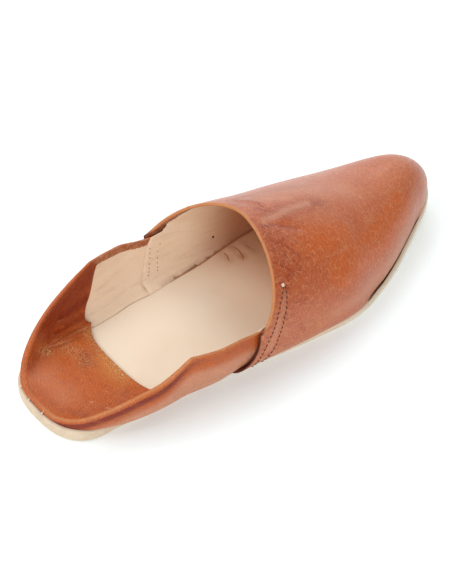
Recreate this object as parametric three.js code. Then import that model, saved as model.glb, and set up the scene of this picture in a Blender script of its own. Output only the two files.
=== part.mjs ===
import * as THREE from 'three';
import { mergeVertices } from 'three/addons/utils/BufferGeometryUtils.js';

// Babouche slipper for the right foot, in millimetres.
// +Y runs from heel to toe, +X to the wearer's right, +Z up, and z = 0 is the floor.

// Driving dimensions
const LENGTH = 265;
const BALL_WIDTH = 86;
const COLLAR_WIDTH = 95;
const INSTEP_HEIGHT = 63.7;
const COLLAR_HEIGHT = 36.7;
const TOE_SPRING = 6.5;
const WAIST_ARCH = 1.6;
const SOLE_THICKNESS = 4;
const HEEL_LIP = 3;
const INSOLE_THICKNESS = 1.7;
const WALL = 1.6;
const SKIVED_WALL = 1.2;
const FOLD_GAP = 0.2;
const GAP = 0.4;

// Where the heel band passes under the vamp: its inset, its raised foot and where that starts.
const UNDER_VAMP = WALL + 0.75;
const UNDER_LIFT = 0.5;
const SEAM_CLEARANCE = 6.5;

const HALF_BALL = BALL_WIDTH / 2;
const HALF_COLLAR = COLLAR_WIDTH / 2;

// Sole outline: a row for each station.
// at is a share of the length from the heel, left and right are shares of half the ball width.
// The two ends are then rounded off over a reach in millimetres: a higher power is squarer.
const SOLE_ROWS = [
  { at: 0, left: 0.693, right: 0.693 },
  { at: 0.085, left: 0.702, right: 0.7 },
  { at: 0.17, left: 0.733, right: 0.73 },
  { at: 0.257, left: 0.758, right: 0.756 },
  { at: 0.34, left: 0.815, right: 0.85 },
  { at: 0.43, left: 0.884, right: 0.922 },
  { at: 0.528, left: 0.949, right: 0.977 },
  { at: 0.604, left: 0.977, right: 1.014 },
  { at: 0.66, left: 0.986, right: 0.981 },
  { at: 0.717, left: 0.967, right: 0.865 },
  { at: 0.777, left: 0.92, right: 0.714 },
  { at: 0.849, left: 0.83, right: 0.484 },
  { at: 0.925, left: 0.668, right: 0.228 },
  { at: 1, left: 0.465, right: 0.023 },
];
const HEEL_END = { reach: 22, power: 2.5 };
const TOE_END = { reach: 20, power: 2 };

// Upper over the last: a row for each girth.
// at is a share of the length, left and right are shares of half the ball width at the widest height,
// widest and crown are heights as shares of the instep height, ridge is the crown's sideways place in
// shares of half the ball width, and power rounds the crown: lower is more pointed, higher is squarer.
const GIRTH_ROWS = [
  { at: 0.358, left: 1.112, right: 1.107, widest: 0.5, crown: 1.038, ridge: 0, power: 1.65 },
  { at: 0.415, left: 1.098, right: 1.098, widest: 0.455, crown: 1.033, ridge: 0, power: 1.7 },
  { at: 0.477, left: 1.05, right: 1.079, widest: 0.377, crown: 1, ridge: 0, power: 1.75 },
  { at: 0.547, left: 1.012, right: 1.07, widest: 0.298, crown: 0.929, ridge: -0.014, power: 1.81 },
  { at: 0.623, left: 1.014, right: 1.033, widest: 0.235, crown: 0.845, ridge: -0.035, power: 1.87 },
  { at: 0.698, left: 1.014, right: 0.879, widest: 0.196, crown: 0.743, ridge: -0.058, power: 1.94 },
  { at: 0.774, left: 0.953, right: 0.709, widest: 0.18, crown: 0.656, ridge: -0.085, power: 2.02 },
  { at: 0.849, left: 0.833, right: 0.481, widest: 0.184, crown: 0.612, ridge: -0.146, power: 2.1 },
  { at: 0.925, left: 0.656, right: 0.223, widest: 0.2, crown: 0.651, ridge: -0.21, power: 2.18 },
  { at: 1.004, left: 0.498, right: 0.019, widest: 0.21, crown: 0.678, ridge: -0.28, power: 2.26 },
];
// NOSE_END rounds the heights down to the tip, SIDE_POWER the side walls out from their tucked feet, and
// CROWN_SHARE of each half's points lie on the crown.
const NOSE_END = { reach: 45, power: 2 };
const UPPER_TIP = LENGTH - 1;
const SIDE_POWER = 2.8;
const LEAST_TUCK = 0.4;
const RIDGE_LIMIT = 0.75;
const CROWN_SHARE = 0.62;

// Vamp: its throat edge runs from a corner on each side up to the middle, and its side seams stand below.
const THROAT_CORNER = 0.3785 * LENGTH;
const THROAT_MIDDLE = 0.4775 * LENGTH;
const THROAT_POWER = 0.85;
const SEAM_SWEEP = { back: 11, power: 2.5 };
const VAMP_ROWS = 30;
const CROWN_STEPS = 11;
const SIDE_STEPS = 6;

// Heel band: half of the fold line, from the middle of the heel to the collar corner.
// x is a share of half the collar width, y of the length, z of the collar height, and sag is the share of
// that height by which the right side has sunk below the left.
const FOLD_ROWS = [
  { x: 0, y: 0.0049, z: 0.27, sag: 0 },
  { x: 0.284, y: 0.0091, z: 0.291, sag: 0 },
  { x: 0.532, y: 0.0362, z: 0.349, sag: 0 },
  { x: 0.706, y: 0.0777, z: 0.471, sag: 0 },
  { x: 0.815, y: 0.1264, z: 0.638, sag: 0.04 },
  { x: 0.876, y: 0.1815, z: 0.815, sag: 0.115 },
  { x: 0.901, y: 0.2381, z: 1, sag: 0.052 },
];
// The folded flap, a row for each row above. drift is how many rows forward the leather leans on its way
// down the wall, low is where the wall part ends as a share of the collar height, and run is how much of
// the way from there to the free edge over the insole, at x and y, is left.
const FLAP_ROWS = [
  { drift: 0, low: 0.234, run: 1, x: 0, y: 0.178 },
  { drift: 0, low: 0.234, run: 1, x: 0.221, y: 0.179 },
  { drift: 0.06, low: 0.236, run: 1, x: 0.41, y: 0.183 },
  { drift: 0.38, low: 0.238, run: 1, x: 0.568, y: 0.193 },
  { drift: 0.6, low: 0.242, run: 1, x: 0.672, y: 0.206 },
  { drift: 0.62, low: 0.41, run: 0, x: 0.72, y: 0.212 },
  { drift: 0, low: 0.97, run: 0, x: 0.76, y: 0.21 },
];
const FLAP_FLOOR = 0.221;
const FLAP_BEND = 1.2;
// The top line in front of the collar corner, to where it is hidden under the vamp.
const TOP_LINE_ROWS = [
  { x: 0.901, y: 0.2381, z: 1, sag: 0.052 },
  { x: 0.949, y: 0.2841, z: 0.965, sag: 0.054 },
  { x: 0.971, y: 0.3313, z: 0.915, sag: 0.05 },
];
const OVERLAP = 12;
const NEARBY = 0.1;
const TUCK_RUN = 17;
const FOLD_STEPS = 4;
const FRONT_STATIONS = 12;
const WALL_LEVELS = SIDE_STEPS + 1;
const WALL_STEPS_DOWN = 4;
const FLOOR_STEPS = 4;
// The fold itself: how far its two faces stand above the walls, and how far below the top line those end.
const FOLD_RISE = { grain: 0.7, flesh: 0.25 };
const FOLD_DROP = { grain: 0.5, flesh: 1.1 };
const FOLD_CLOSING = 10;
const BEND_SHIFT = 0.4;

const share = (value, low, high) => THREE.MathUtils.clamp((value - low) / (high - low), 0, 1);
const ease = (value, low, high) => THREE.MathUtils.smoothstep(value, low, high);

// A table's column at a place between its rows, on a smooth curve through them.
function lookUp(rows, key, column, place) {
  let i = 0;
  while (i < rows.length - 2 && place > rows[i + 1][key]) i += 1;
  const slope = (k) => {
    const a = rows[Math.max(k - 1, 0)];
    const b = rows[Math.min(k + 1, rows.length - 1)];
    return (b[column] - a[column]) / (b[key] - a[key]);
  };
  const span = rows[i + 1][key] - rows[i][key];
  const t = (place - rows[i][key]) / span;
  const rise = rows[i + 1][column] - rows[i][column];
  const ahead = slope(i) * span;
  const behind = slope(i + 1) * span;
  return rows[i][column] + t * (ahead + t * (3 * rise - 2 * ahead - behind + t * (ahead + behind - 2 * rise)));
}

// How far a width or height has grown at a distance from a rounded end: 0 at the end, 1 past its reach.
function roundedEnd(distance, { reach, power }) {
  const t = THREE.MathUtils.clamp(distance / reach, 0, 1);
  return (1 - (1 - t) ** power) ** (1 / power);
}

// The floor side of the sole: flat under heel and forefoot, arched at the waist, sprung at the toe.
function underside(y) {
  const at = y / LENGTH;
  const arch = ease(at, 0.24, 0.36) * (1 - ease(at, 0.38, 0.5));
  return WAIST_ARCH * arch + TOE_SPRING * share(at, 0.7, 1) ** 2;
}
const soleTop = (y) => underside(y) + SOLE_THICKNESS;
const lipTop = (y) => soleTop(y) + HEEL_LIP * (1 - ease(y / LENGTH, 0.02, 0.13));

// The ledge of sole that shows outside the upper's lower edge.
const ledge = (y) => 1 + 0.6 * (1 - ease(y / LENGTH, 0.02, 0.12)) - 0.3 * ease(y / LENGTH, 0.6, 0.8);

// The sole's outline as a ring of plan points, moved in from the edge by inset(y).
function outline(inset) {
  const steps = 34;
  const left = [];
  const right = [];
  for (let k = 0; k <= steps; k += 1) {
    const y = LENGTH * (0.5 - 0.5 * Math.cos(Math.PI * k / steps));
    const at = y / LENGTH;
    const ends = roundedEnd(y, HEEL_END) * roundedEnd(LENGTH - y, TOE_END);
    const l = lookUp(SOLE_ROWS, 'at', 'left', at);
    const r = lookUp(SOLE_ROWS, 'at', 'right', at);
    const middle = HALF_BALL * (r - l) / 2;
    const half = HALF_BALL * (r + l) / 2 * ends;
    left.push(new THREE.Vector2(middle - half, y));
    if (k > 0 && k < steps) right.unshift(new THREE.Vector2(middle + half, y));
  }
  const ring = [...left, ...right];
  return ring.map((point, i) => {
    const before = ring[(i + ring.length - 1) % ring.length];
    const after = ring[(i + 1) % ring.length];
    const along = after.clone().sub(before).normalize();
    return point.clone().addScaledVector(new THREE.Vector2(along.y, -along.x), inset(point.y));
  });
}

// Closed mesh from corner lists, with shared corners merged and empty triangles left out.
function meshFrom(points, triangles) {
  const raw = new THREE.BufferGeometry();
  raw.setAttribute('position', new THREE.Float32BufferAttribute(points.flatMap((p) => [p.x, p.y, p.z]), 3));
  raw.setIndex(triangles.flat());
  const merged = mergeVertices(raw, 1e-3);
  const index = Array.from(merged.index.array);
  const kept = [];
  for (let i = 0; i < index.length; i += 3) {
    const [a, b, c] = index.slice(i, i + 3);
    if (a !== b && b !== c && c !== a) kept.push(a, b, c);
  }
  merged.setIndex(volume(merged, kept) < 0 ? kept.reverse() : kept);
  return merged;
}

function volume(geometry, index) {
  const corner = (k) => new THREE.Vector3().fromBufferAttribute(geometry.attributes.position, index[k]);
  let sum = 0;
  for (let i = 0; i < index.length; i += 3) {
    sum += corner(i).dot(corner(i + 1).cross(corner(i + 2)));
  }
  return sum / 6;
}

// A wall between an outer and an inner sheet of points, closed round its four edges.
function wallBetween(outer, inner) {
  const rows = outer.length;
  const columns = outer[0].length;
  const points = [...outer.flat(), ...inner.flat()];
  const out = (i, j) => i * columns + j;
  const inn = (i, j) => rows * columns + i * columns + j;
  const triangles = [];
  const quad = (a, b, c, d) => triangles.push([a, b, c], [a, c, d]);
  for (let i = 0; i < rows - 1; i += 1) {
    for (let j = 0; j < columns - 1; j += 1) {
      quad(out(i, j), out(i, j + 1), out(i + 1, j + 1), out(i + 1, j));
      quad(inn(i, j), inn(i + 1, j), inn(i + 1, j + 1), inn(i, j + 1));
    }
    quad(out(i, 0), out(i + 1, 0), inn(i + 1, 0), inn(i, 0));
    quad(out(i, columns - 1), inn(i, columns - 1), inn(i + 1, columns - 1), out(i + 1, columns - 1));
  }
  for (let j = 0; j < columns - 1; j += 1) {
    quad(out(0, j), inn(0, j), inn(0, j + 1), out(0, j + 1));
    quad(out(rows - 1, j), out(rows - 1, j + 1), inn(rows - 1, j + 1), inn(rows - 1, j));
  }
  return meshFrom(points, triangles);
}

// A slab of stacked outline rings, each { inset, height } as functions of y, capped above and below.
function slab(levels) {
  const rings = levels.map(({ inset, height }) => (
    outline(inset).map((p) => new THREE.Vector3(p.x, p.y, height(p.y)))
  ));
  const size = rings[0].length;
  const poles = size / 2;
  const at = (level, k) => level * size + (k + size) % size;
  const triangles = [];
  const quad = (a, b, c, d) => triangles.push([a, b, c], [a, c, d]);
  for (let level = 0; level < rings.length - 1; level += 1) {
    for (let k = 0; k < size; k += 1) {
      quad(at(level, k), at(level, k + 1), at(level + 1, k + 1), at(level + 1, k));
    }
  }
  const top = rings.length - 1;
  for (let k = 0; k < poles; k += 1) {
    quad(at(0, k), at(0, -k), at(0, -k - 1), at(0, k + 1));
    quad(at(top, k), at(top, k + 1), at(top, -k - 1), at(top, -k));
  }
  return meshFrom(rings.flat(), triangles);
}

// Outsole: rounded edges, and a lip round the heel, LIP_MARGIN wider than the wall that stands on it.
const EDGE_ROUND = { under: 2.2, corner: 0.7, rise: 0.5, side: 1.6, top: 0.5 };
const LIP_MARGIN = 0.2;
const LIP_DRAFT = 0.1;
const lipInner = (y) => ledge(y) + WALL + LIP_MARGIN;
function outsole() {
  return slab([
    { inset: () => EDGE_ROUND.under, height: underside },
    { inset: () => EDGE_ROUND.corner, height: (y) => underside(y) + EDGE_ROUND.rise },
    { inset: () => 0, height: (y) => underside(y) + EDGE_ROUND.side },
    { inset: () => 0, height: (y) => lipTop(y) - 2 * EDGE_ROUND.top },
    { inset: () => EDGE_ROUND.top, height: lipTop },
    { inset: lipInner, height: lipTop },
    { inset: (y) => lipInner(y) + LIP_DRAFT, height: soleTop },
  ]);
}

// Insole: a thin sheet inside the upper, drawn in where the heel band passes under the vamp and at the toe.
const INSOLE_MARGIN = { side: 0.4, waist: 2, waistRun: 30, toe: 4, toeRun: 26 };
const INSOLE_BEVEL = 0.45;
const insoleBottom = (y) => soleTop(y) + GAP;
const insoleTop = (y) => insoleBottom(y) + INSOLE_THICKNESS;
function insole() {
  const rear = THROAT_CORNER - 6;
  const front = THROAT_CORNER + OVERLAP;
  const { side, waist, waistRun, toe, toeRun } = INSOLE_MARGIN;
  const drawnIn = (y) => waist * ease(y, rear - waistRun, rear) * (1 - ease(y, front, front + waistRun))
    + toe * ease(y, LENGTH - toeRun, LENGTH);
  const edge = (y) => lipInner(y) + GAP + side + drawnIn(y);
  return slab([
    { inset: edge, height: insoleBottom },
    { inset: edge, height: (y) => insoleTop(y) - INSOLE_BEVEL },
    { inset: (y) => edge(y) + INSOLE_BEVEL, height: insoleTop },
  ]);
}

// The upper's sizes at one girth, moved in by inset.
function girth(y, inset) {
  const at = y / LENGTH;
  const read = (column) => lookUp(GIRTH_ROWS, 'at', column, at);
  const end = roundedEnd(UPPER_TIP - inset - y, TOE_END);
  const nose = roundedEnd(UPPER_TIP - inset - y, NOSE_END);
  const foot = lipTop(y) + GAP;
  const left = HALF_BALL * read('left') - inset;
  const right = HALF_BALL * read('right') - inset;
  const middle = (right - left) / 2;
  const half = (right + left) / 2 * end;
  const ridge = THREE.MathUtils.clamp(HALF_BALL * read('ridge'), middle - RIDGE_LIMIT * half, middle + RIDGE_LIMIT * half);
  const tuck = (side) => {
    const sole = HALF_BALL * lookUp(SOLE_ROWS, 'at', side, at) - ledge(y) - inset;
    const upper = side === 'left' ? left : right;
    return Math.min(Math.max(upper - sole, LEAST_TUCK), upper) * end;
  };
  return {
    foot,
    ridge,
    sides: { '-1': middle - half, 1: middle + half },
    tucks: { '-1': tuck('left'), 1: tuck('right') },
    widest: foot + (INSTEP_HEIGHT * read('widest') - foot) * nose,
    crown: foot + (INSTEP_HEIGHT * read('crown') - inset - foot) * nose,
    power: read('power'),
  };
}

// A point of the upper: turn runs from -1 at the left lower edge over the ridge at 0 to 1 at the right.
function upperPoint(y, turn, inset) {
  const g = girth(y, inset);
  const side = turn < 0 ? -1 : 1;
  const wide = g.sides[side];
  const climb = Math.abs(turn);
  if (climb <= CROWN_SHARE) {
    const angle = climb / CROWN_SHARE * Math.PI / 2;
    const x = g.ridge + (wide - g.ridge) * Math.sin(angle) ** (2 / g.power);
    const z = g.widest + (g.crown - g.widest) * Math.cos(angle) ** (2 / g.power);
    return new THREE.Vector3(x, y, z);
  }
  const drop = (climb - CROWN_SHARE) / (1 - CROWN_SHARE);
  const spread = sideSpread(1 - drop);
  return new THREE.Vector3(wide - side * g.tucks[side] * (1 - spread), y, g.widest - (g.widest - g.foot) * drop);
}

// How far a side wall has spread from its tucked foot, at 0, to its widest, at 1.
function sideSpread(rise) {
  return (1 - (1 - rise) ** SIDE_POWER) ** (1 / SIDE_POWER);
}

// The y of the vamp's rear edge: the throat edge over the crown, and a seam that sweeps back down each side.
function vampRear(turn) {
  const climb = Math.abs(turn);
  if (climb > CROWN_SHARE) {
    const drop = (climb - CROWN_SHARE) / (1 - CROWN_SHARE);
    return THROAT_CORNER - SEAM_SWEEP.back * drop ** SEAM_SWEEP.power;
  }
  const angle = climb / CROWN_SHARE * Math.PI / 2;
  return THROAT_CORNER + (THROAT_MIDDLE - THROAT_CORNER) * Math.cos(angle) ** THROAT_POWER;
}

function vampTurns() {
  const turns = [];
  for (let k = -CROWN_STEPS; k <= CROWN_STEPS; k += 1) turns.push(CROWN_SHARE * k / CROWN_STEPS);
  for (let k = 1; k <= SIDE_STEPS; k += 1) {
    const turn = CROWN_SHARE + (1 - CROWN_SHARE) * Math.sin(Math.PI / 2 * k / SIDE_STEPS);
    turns.push(turn);
    turns.unshift(-turn);
  }
  return turns;
}

function vamp() {
  const sheet = (inset) => {
    const tip = UPPER_TIP - inset;
    const rows = [];
    for (let i = 0; i <= VAMP_ROWS; i += 1) {
      const along = Math.sin(Math.PI / 2 * i / VAMP_ROWS);
      rows.push(vampTurns().map((turn) => {
        const rear = vampRear(turn);
        return upperPoint(Math.min(rear + (tip - rear) * along, tip - 1e-6), turn, inset);
      }));
    }
    return rows;
  };
  return wallBetween(sheet(0), sheet(WALL));
}

// The sole's half width at a station on one side, less the ledge and a further inset, as a signed x.
function footX(side, y, inset) {
  const column = side < 0 ? 'left' : 'right';
  return side * (HALF_BALL * lookUp(SOLE_ROWS, 'at', column, y / LENGTH) - ledge(y) - inset);
}

// The point nearest to a plan point on the line that the heel band stands on.
const BAND_FOOT_RING = outline(ledge);
function nearestFoot(point) {
  let best = BAND_FOOT_RING[0];
  BAND_FOOT_RING.forEach((a, i) => {
    const along = BAND_FOOT_RING[(i + 1) % BAND_FOOT_RING.length].clone().sub(a);
    const t = THREE.MathUtils.clamp(point.clone().sub(a).dot(along) / along.lengthSq(), 0, 1);
    const candidate = a.clone().addScaledVector(along, t);
    if (candidate.distanceTo(point) < best.distanceTo(point)) best = candidate;
  });
  return best;
}

// A table's row at a place between its rows, counted from 0.
function rowAt(rows, place) {
  const numbered = rows.map((row, k) => ({ ...row, k }));
  return Object.fromEntries(Object.keys(rows[0]).map((column) => [column, lookUp(numbered, 'k', column, place)]));
}

// A collar table's point, scaled and mirrored to a side.
function collarPoint(rows, place, side) {
  const { x, y, z, sag } = rowAt(rows, place);
  return new THREE.Vector3(side * HALF_COLLAR * x, LENGTH * y, COLLAR_HEIGHT * (side > 0 ? z - sag : z));
}

// A station of the folded part of the heel band, at a place between the fold rows.
function foldStation(place, side) {
  const top = collarPoint(FOLD_ROWS, place, side);
  const foot = place === 0 ? new THREE.Vector2(0, ledge(0)) : nearestFoot(new THREE.Vector2(top.x, top.y));
  const ahead = collarPoint(FOLD_ROWS, Math.min(place + NEARBY, FOLD_ROWS.length - 1), side);
  const behind = collarPoint(FOLD_ROWS, Math.abs(place - NEARBY), place < NEARBY ? -side : side);
  const inward = new THREE.Vector3(behind.y - ahead.y, ahead.x - behind.x, 0).multiplyScalar(side).normalize();
  return { place, side, top, foot, low: lipTop(foot.y) + GAP, inward, thickness: WALL };
}

// A station in front of the collar corner, where the band stands single and then passes under the vamp.
function frontStation(y, side) {
  const first = LENGTH * TOP_LINE_ROWS[0].y;
  const last = LENGTH * TOP_LINE_ROWS.at(-1).y;
  const seam = THROAT_CORNER - SEAM_CLEARANCE;
  const under = ease(y, seam - TUCK_RUN, seam);
  const shown = collarPoint(TOP_LINE_ROWS, (TOP_LINE_ROWS.length - 1) * share(y, first, last), side);
  const top = shown.lerp(upperPoint(y, side * CROWN_SHARE, UNDER_VAMP), under).setY(y);
  const foot = new THREE.Vector2(footX(side, y, UNDER_VAMP * under), y);
  const low = lipTop(y) + GAP + UNDER_LIFT * under;
  const thickness = THREE.MathUtils.lerp(WALL, SKIVED_WALL, under);
  return { side, top, foot, low, inward: new THREE.Vector3(-side, 0, 0), thickness };
}

// A point of a station's wall at a height and a depth behind its outer face.
function wallPoint({ top, foot, low, inward }, z, depth) {
  const spread = sideSpread(share(z, low, top.z));
  return new THREE.Vector3(
    foot.x + (top.x - foot.x) * spread,
    foot.y + (top.y - foot.y) * spread,
    Math.max(z, low),
  ).addScaledVector(inward, depth);
}

// The leather of one station on its grain face, 0, or flesh face, 1, from the foot of the wall up to the
// top line and, behind the collar corner, over the fold and down to the free edge of the flap. The fold
// closes to nothing at the corner: closing is 0 where it is full and 1 where the band stands single.
function bandLine(station, face) {
  const { place, side, top, low, thickness } = station;
  const closing = place === undefined ? 1 : (place / (FOLD_ROWS.length - 1)) ** FOLD_CLOSING;
  const wallTop = top.z - face * FOLD_DROP.flesh * (1 - closing);
  const line = [];
  for (let k = 0; k < WALL_LEVELS; k += 1) {
    const rise = 1 - Math.sin(Math.PI / 2 * (1 - k / SIDE_STEPS));
    line.push(wallPoint(station, low + (wallTop - low) * rise, face * thickness));
  }
  const columns = WALL_LEVELS + 1 + WALL_STEPS_DOWN + FLOOR_STEPS;
  if (closing === 1) {
    while (line.length < columns) line.push(line.at(-1).clone());
    return line;
  }
  const layers = (WALL + FOLD_GAP) * (1 - closing) + WALL;
  const depth = layers - face * thickness;
  const fold = line.at(-1).clone().addScaledVector(station.inward, (depth - face * thickness) / 2);
  fold.z += (face ? FOLD_RISE.flesh : FOLD_RISE.grain) * (1 - closing);
  line.push(fold);
  const flap = rowAt(FLAP_ROWS, place);
  const lowest = COLLAR_HEIGHT * flap.low;
  const highest = Math.max(top.z - (face ? FOLD_DROP.flesh : FOLD_DROP.grain), lowest);
  for (let k = 0; k < WALL_STEPS_DOWN; k += 1) {
    const down = k / (WALL_STEPS_DOWN - 1);
    const leaning = foldStation(Math.min(place + flap.drift * down, FOLD_ROWS.length - 1), side);
    line.push(wallPoint(leaning, THREE.MathUtils.lerp(highest, lowest, down), depth));
  }
  const bend = line.at(-1);
  const onFloor = THREE.MathUtils.clamp(flap.run, 0, 1);
  if (face) {
    bend.addScaledVector(station.inward, BEND_SHIFT * WALL * onFloor);
    bend.z -= FLAP_BEND * onFloor;
  }
  const floor = COLLAR_HEIGHT * FLAP_FLOOR - face * WALL;
  const edge = new THREE.Vector3(side * HALF_COLLAR * flap.x, LENGTH * flap.y, floor);
  const end = bend.clone().lerp(edge, onFloor);
  for (let k = 1; k <= FLOOR_STEPS; k += 1) line.push(bend.clone().lerp(end, k / FLOOR_STEPS));
  return line;
}

// Heel band: one leather from the left seam round the heel to the right seam, its heel part folded in.
function heelBand() {
  const half = (side) => {
    const stations = [];
    const folds = (FOLD_ROWS.length - 1) * FOLD_STEPS;
    for (let k = 0; k <= folds; k += 1) stations.push(foldStation(k / FOLD_STEPS, side));
    const first = stations.at(-1).top.y;
    for (let k = 1; k <= FRONT_STATIONS; k += 1) {
      stations.push(frontStation(first + (THROAT_CORNER + OVERLAP - first) * k / FRONT_STATIONS, side));
    }
    return stations;
  };
  const stations = [...half(-1).reverse(), ...half(1).slice(1)];
  const sheet = (face) => stations.map((station) => bandLine(station, face));
  return wallBetween(sheet(0), sheet(1));
}

function piece(name, geometry, color, roughness) {
  geometry.computeVertexNormals();
  const mesh = new THREE.Mesh(geometry, new THREE.MeshStandardMaterial({ color, roughness, metalness: 0 }));
  mesh.name = name;
  return mesh;
}

const group = new THREE.Group();
group.add(
  piece('outsole', outsole(), '#d9bd97', 0.75),
  piece('insole', insole(), '#ecd6bc', 0.8),
  piece('upper_heel_band', heelBand(), '#b5623a', 0.45),
  piece('upper_vamp', vamp(), '#b05c38', 0.4),
);
group.position.set(0, -LENGTH / 2, 0);

export default group;
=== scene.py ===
# Babouche slipper for the right foot, dressed for the camera.
# Shapes are worked out in millimetres from the back of the heel: +Y runs to the toe, +X to the wearer's
# right, +Z up, and z = 0 is the floor. They turn into the frame's metres where a mesh is made.

import math

import bmesh
import bpy
import numpy as np
from mathutils import Matrix, Vector


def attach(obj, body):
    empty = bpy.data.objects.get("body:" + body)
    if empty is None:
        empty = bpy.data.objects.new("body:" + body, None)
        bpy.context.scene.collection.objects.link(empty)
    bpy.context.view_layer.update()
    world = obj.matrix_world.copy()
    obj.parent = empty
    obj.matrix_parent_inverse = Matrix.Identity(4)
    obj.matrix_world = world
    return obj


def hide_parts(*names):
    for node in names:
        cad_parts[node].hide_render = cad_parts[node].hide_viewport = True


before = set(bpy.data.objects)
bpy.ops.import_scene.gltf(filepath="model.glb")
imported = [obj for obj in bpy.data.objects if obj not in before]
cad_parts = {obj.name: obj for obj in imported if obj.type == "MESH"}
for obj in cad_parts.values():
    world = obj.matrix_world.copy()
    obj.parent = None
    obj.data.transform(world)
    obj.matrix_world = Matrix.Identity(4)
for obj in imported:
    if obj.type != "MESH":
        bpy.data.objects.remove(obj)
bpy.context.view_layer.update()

MM = 0.001

# Driving dimensions
LENGTH = 265
BALL_WIDTH = 86
COLLAR_WIDTH = 95
INSTEP_HEIGHT = 63.7
COLLAR_HEIGHT = 36.7
TOE_SPRING = 6.5
WAIST_ARCH = 1.6
SOLE_THICKNESS = 4
HEEL_LIP = 3
INSOLE_THICKNESS = 1.7
WALL = 1.6
SKIVED_WALL = 1.2
FOLD_GAP = 0.2
GAP = 0.4
LINING = 0.5
UNDER_VAMP = WALL + 0.75
UNDER_LIFT = 0.5
SEAM_CLEARANCE = 6.5
OVERLAP = 12
HALF_BALL = BALL_WIDTH / 2
HALF_COLLAR = COLLAR_WIDTH / 2


def named(columns, rows):
    """A table's rows, with a name for each number in them."""
    return [dict(zip(columns.split(), row)) for row in rows]


# Sole outline: shares of half the ball width at shares of the length.
SOLE_ROWS = named("at left right", [
    (0, 0.693, 0.693),
    (0.085, 0.702, 0.7),
    (0.17, 0.733, 0.73),
    (0.257, 0.758, 0.756),
    (0.34, 0.815, 0.85),
    (0.43, 0.884, 0.922),
    (0.528, 0.949, 0.977),
    (0.604, 0.977, 1.014),
    (0.66, 0.986, 0.981),
    (0.717, 0.967, 0.865),
    (0.777, 0.92, 0.714),
    (0.849, 0.83, 0.484),
    (0.925, 0.668, 0.228),
    (1, 0.465, 0.023),
])
HEEL_END = {"reach": 22, "power": 2.5}
TOE_END = {"reach": 20, "power": 2}
NOSE_END = {"reach": 45, "power": 2}

# Girths of the upper: widths as shares of half the ball width, heights as shares of the instep height.
GIRTH_ROWS = named("at left right widest crown ridge power", [
    (0.358, 1.112, 1.107, 0.5, 1.038, 0, 1.65),
    (0.415, 1.098, 1.098, 0.455, 1.033, 0, 1.7),
    (0.477, 1.05, 1.079, 0.377, 1, 0, 1.75),
    (0.547, 1.012, 1.07, 0.298, 0.929, -0.014, 1.81),
    (0.623, 1.014, 1.033, 0.235, 0.845, -0.035, 1.87),
    (0.698, 1.014, 0.879, 0.196, 0.743, -0.058, 1.94),
    (0.774, 0.953, 0.709, 0.18, 0.656, -0.085, 2.02),
    (0.849, 0.833, 0.481, 0.184, 0.612, -0.146, 2.1),
    (0.925, 0.656, 0.223, 0.2, 0.651, -0.21, 2.18),
    (1.004, 0.498, 0.019, 0.21, 0.678, -0.28, 2.26),
])
UPPER_TIP = LENGTH - 1
SIDE_POWER = 2.8
LEAST_TUCK = 0.4
RIDGE_LIMIT = 0.75
CROWN_SHARE = 0.62
THROAT_CORNER = 0.3785 * LENGTH
THROAT_MIDDLE = 0.4775 * LENGTH
THROAT_POWER = 0.85
SEAM_SWEEP = {"back": 11, "power": 2.5}

# Fold line of the heel band and its flap: shares of the collar width, length and height.
FOLD_ROWS = named("x y z sag", [
    (0, 0.0049, 0.27, 0),
    (0.284, 0.0091, 0.291, 0),
    (0.532, 0.0362, 0.349, 0),
    (0.706, 0.0777, 0.471, 0),
    (0.815, 0.1264, 0.638, 0.04),
    (0.876, 0.1815, 0.815, 0.115),
    (0.901, 0.2381, 1, 0.052),
])
FLAP_ROWS = named("drift low run x y", [
    (0, 0.234, 1, 0, 0.178),
    (0, 0.234, 1, 0.221, 0.179),
    (0.06, 0.236, 1, 0.41, 0.183),
    (0.38, 0.238, 1, 0.568, 0.193),
    (0.6, 0.242, 1, 0.672, 0.206),
    (0.62, 0.41, 0, 0.72, 0.212),
    (0.26, 0.9, 0, 0.76, 0.21),
])
FLAP_FLOOR = 0.221
TOP_LINE_ROWS = named("x y z sag", [
    (0.901, 0.2381, 1, 0.052),
    (0.949, 0.2841, 0.965, 0.054),
    (0.971, 0.3313, 0.915, 0.05),
])
FOLD_CLOSING = 10
NEARBY = 0.1
TUCK_RUN = 17


def share(value, low, high):
    return np.clip((np.asarray(value, float) - low) / (high - low), 0, 1)


def ease(value, low, high):
    t = share(value, low, high)
    return t * t * (3 - 2 * t)


def mix(a, b, t):
    return a + (b - a) * t


def look_up(rows, key, column, place):
    """A table's column at places between its rows, on a smooth curve through them."""
    keys = np.array([row[key] for row in rows], float)
    values = np.array([row[column] for row in rows], float)
    last = len(rows) - 1
    slopes = np.array([
        (values[min(k + 1, last)] - values[max(k - 1, 0)]) / (keys[min(k + 1, last)] - keys[max(k - 1, 0)])
        for k in range(last + 1)
    ])
    place = np.asarray(place, float)
    i = np.clip(np.searchsorted(keys, place) - 1, 0, last - 1)
    span = keys[i + 1] - keys[i]
    t = (place - keys[i]) / span
    rise = values[i + 1] - values[i]
    ahead = slopes[i] * span
    behind = slopes[i + 1] * span
    return values[i] + t * (ahead + t * (3 * rise - 2 * ahead - behind + t * (ahead + behind - 2 * rise)))


def rounded_end(distance, end):
    t = share(distance, 0, end["reach"])
    return (1 - (1 - t) ** end["power"]) ** (1 / end["power"])


def underside(y):
    at = np.asarray(y, float) / LENGTH
    arch = ease(at, 0.24, 0.36) * (1 - ease(at, 0.38, 0.5))
    return WAIST_ARCH * arch + TOE_SPRING * share(at, 0.7, 1) ** 2


def sole_top(y):
    return underside(y) + SOLE_THICKNESS


def lip_top(y):
    return sole_top(y) + HEEL_LIP * (1 - ease(np.asarray(y) / LENGTH, 0.02, 0.13))


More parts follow.
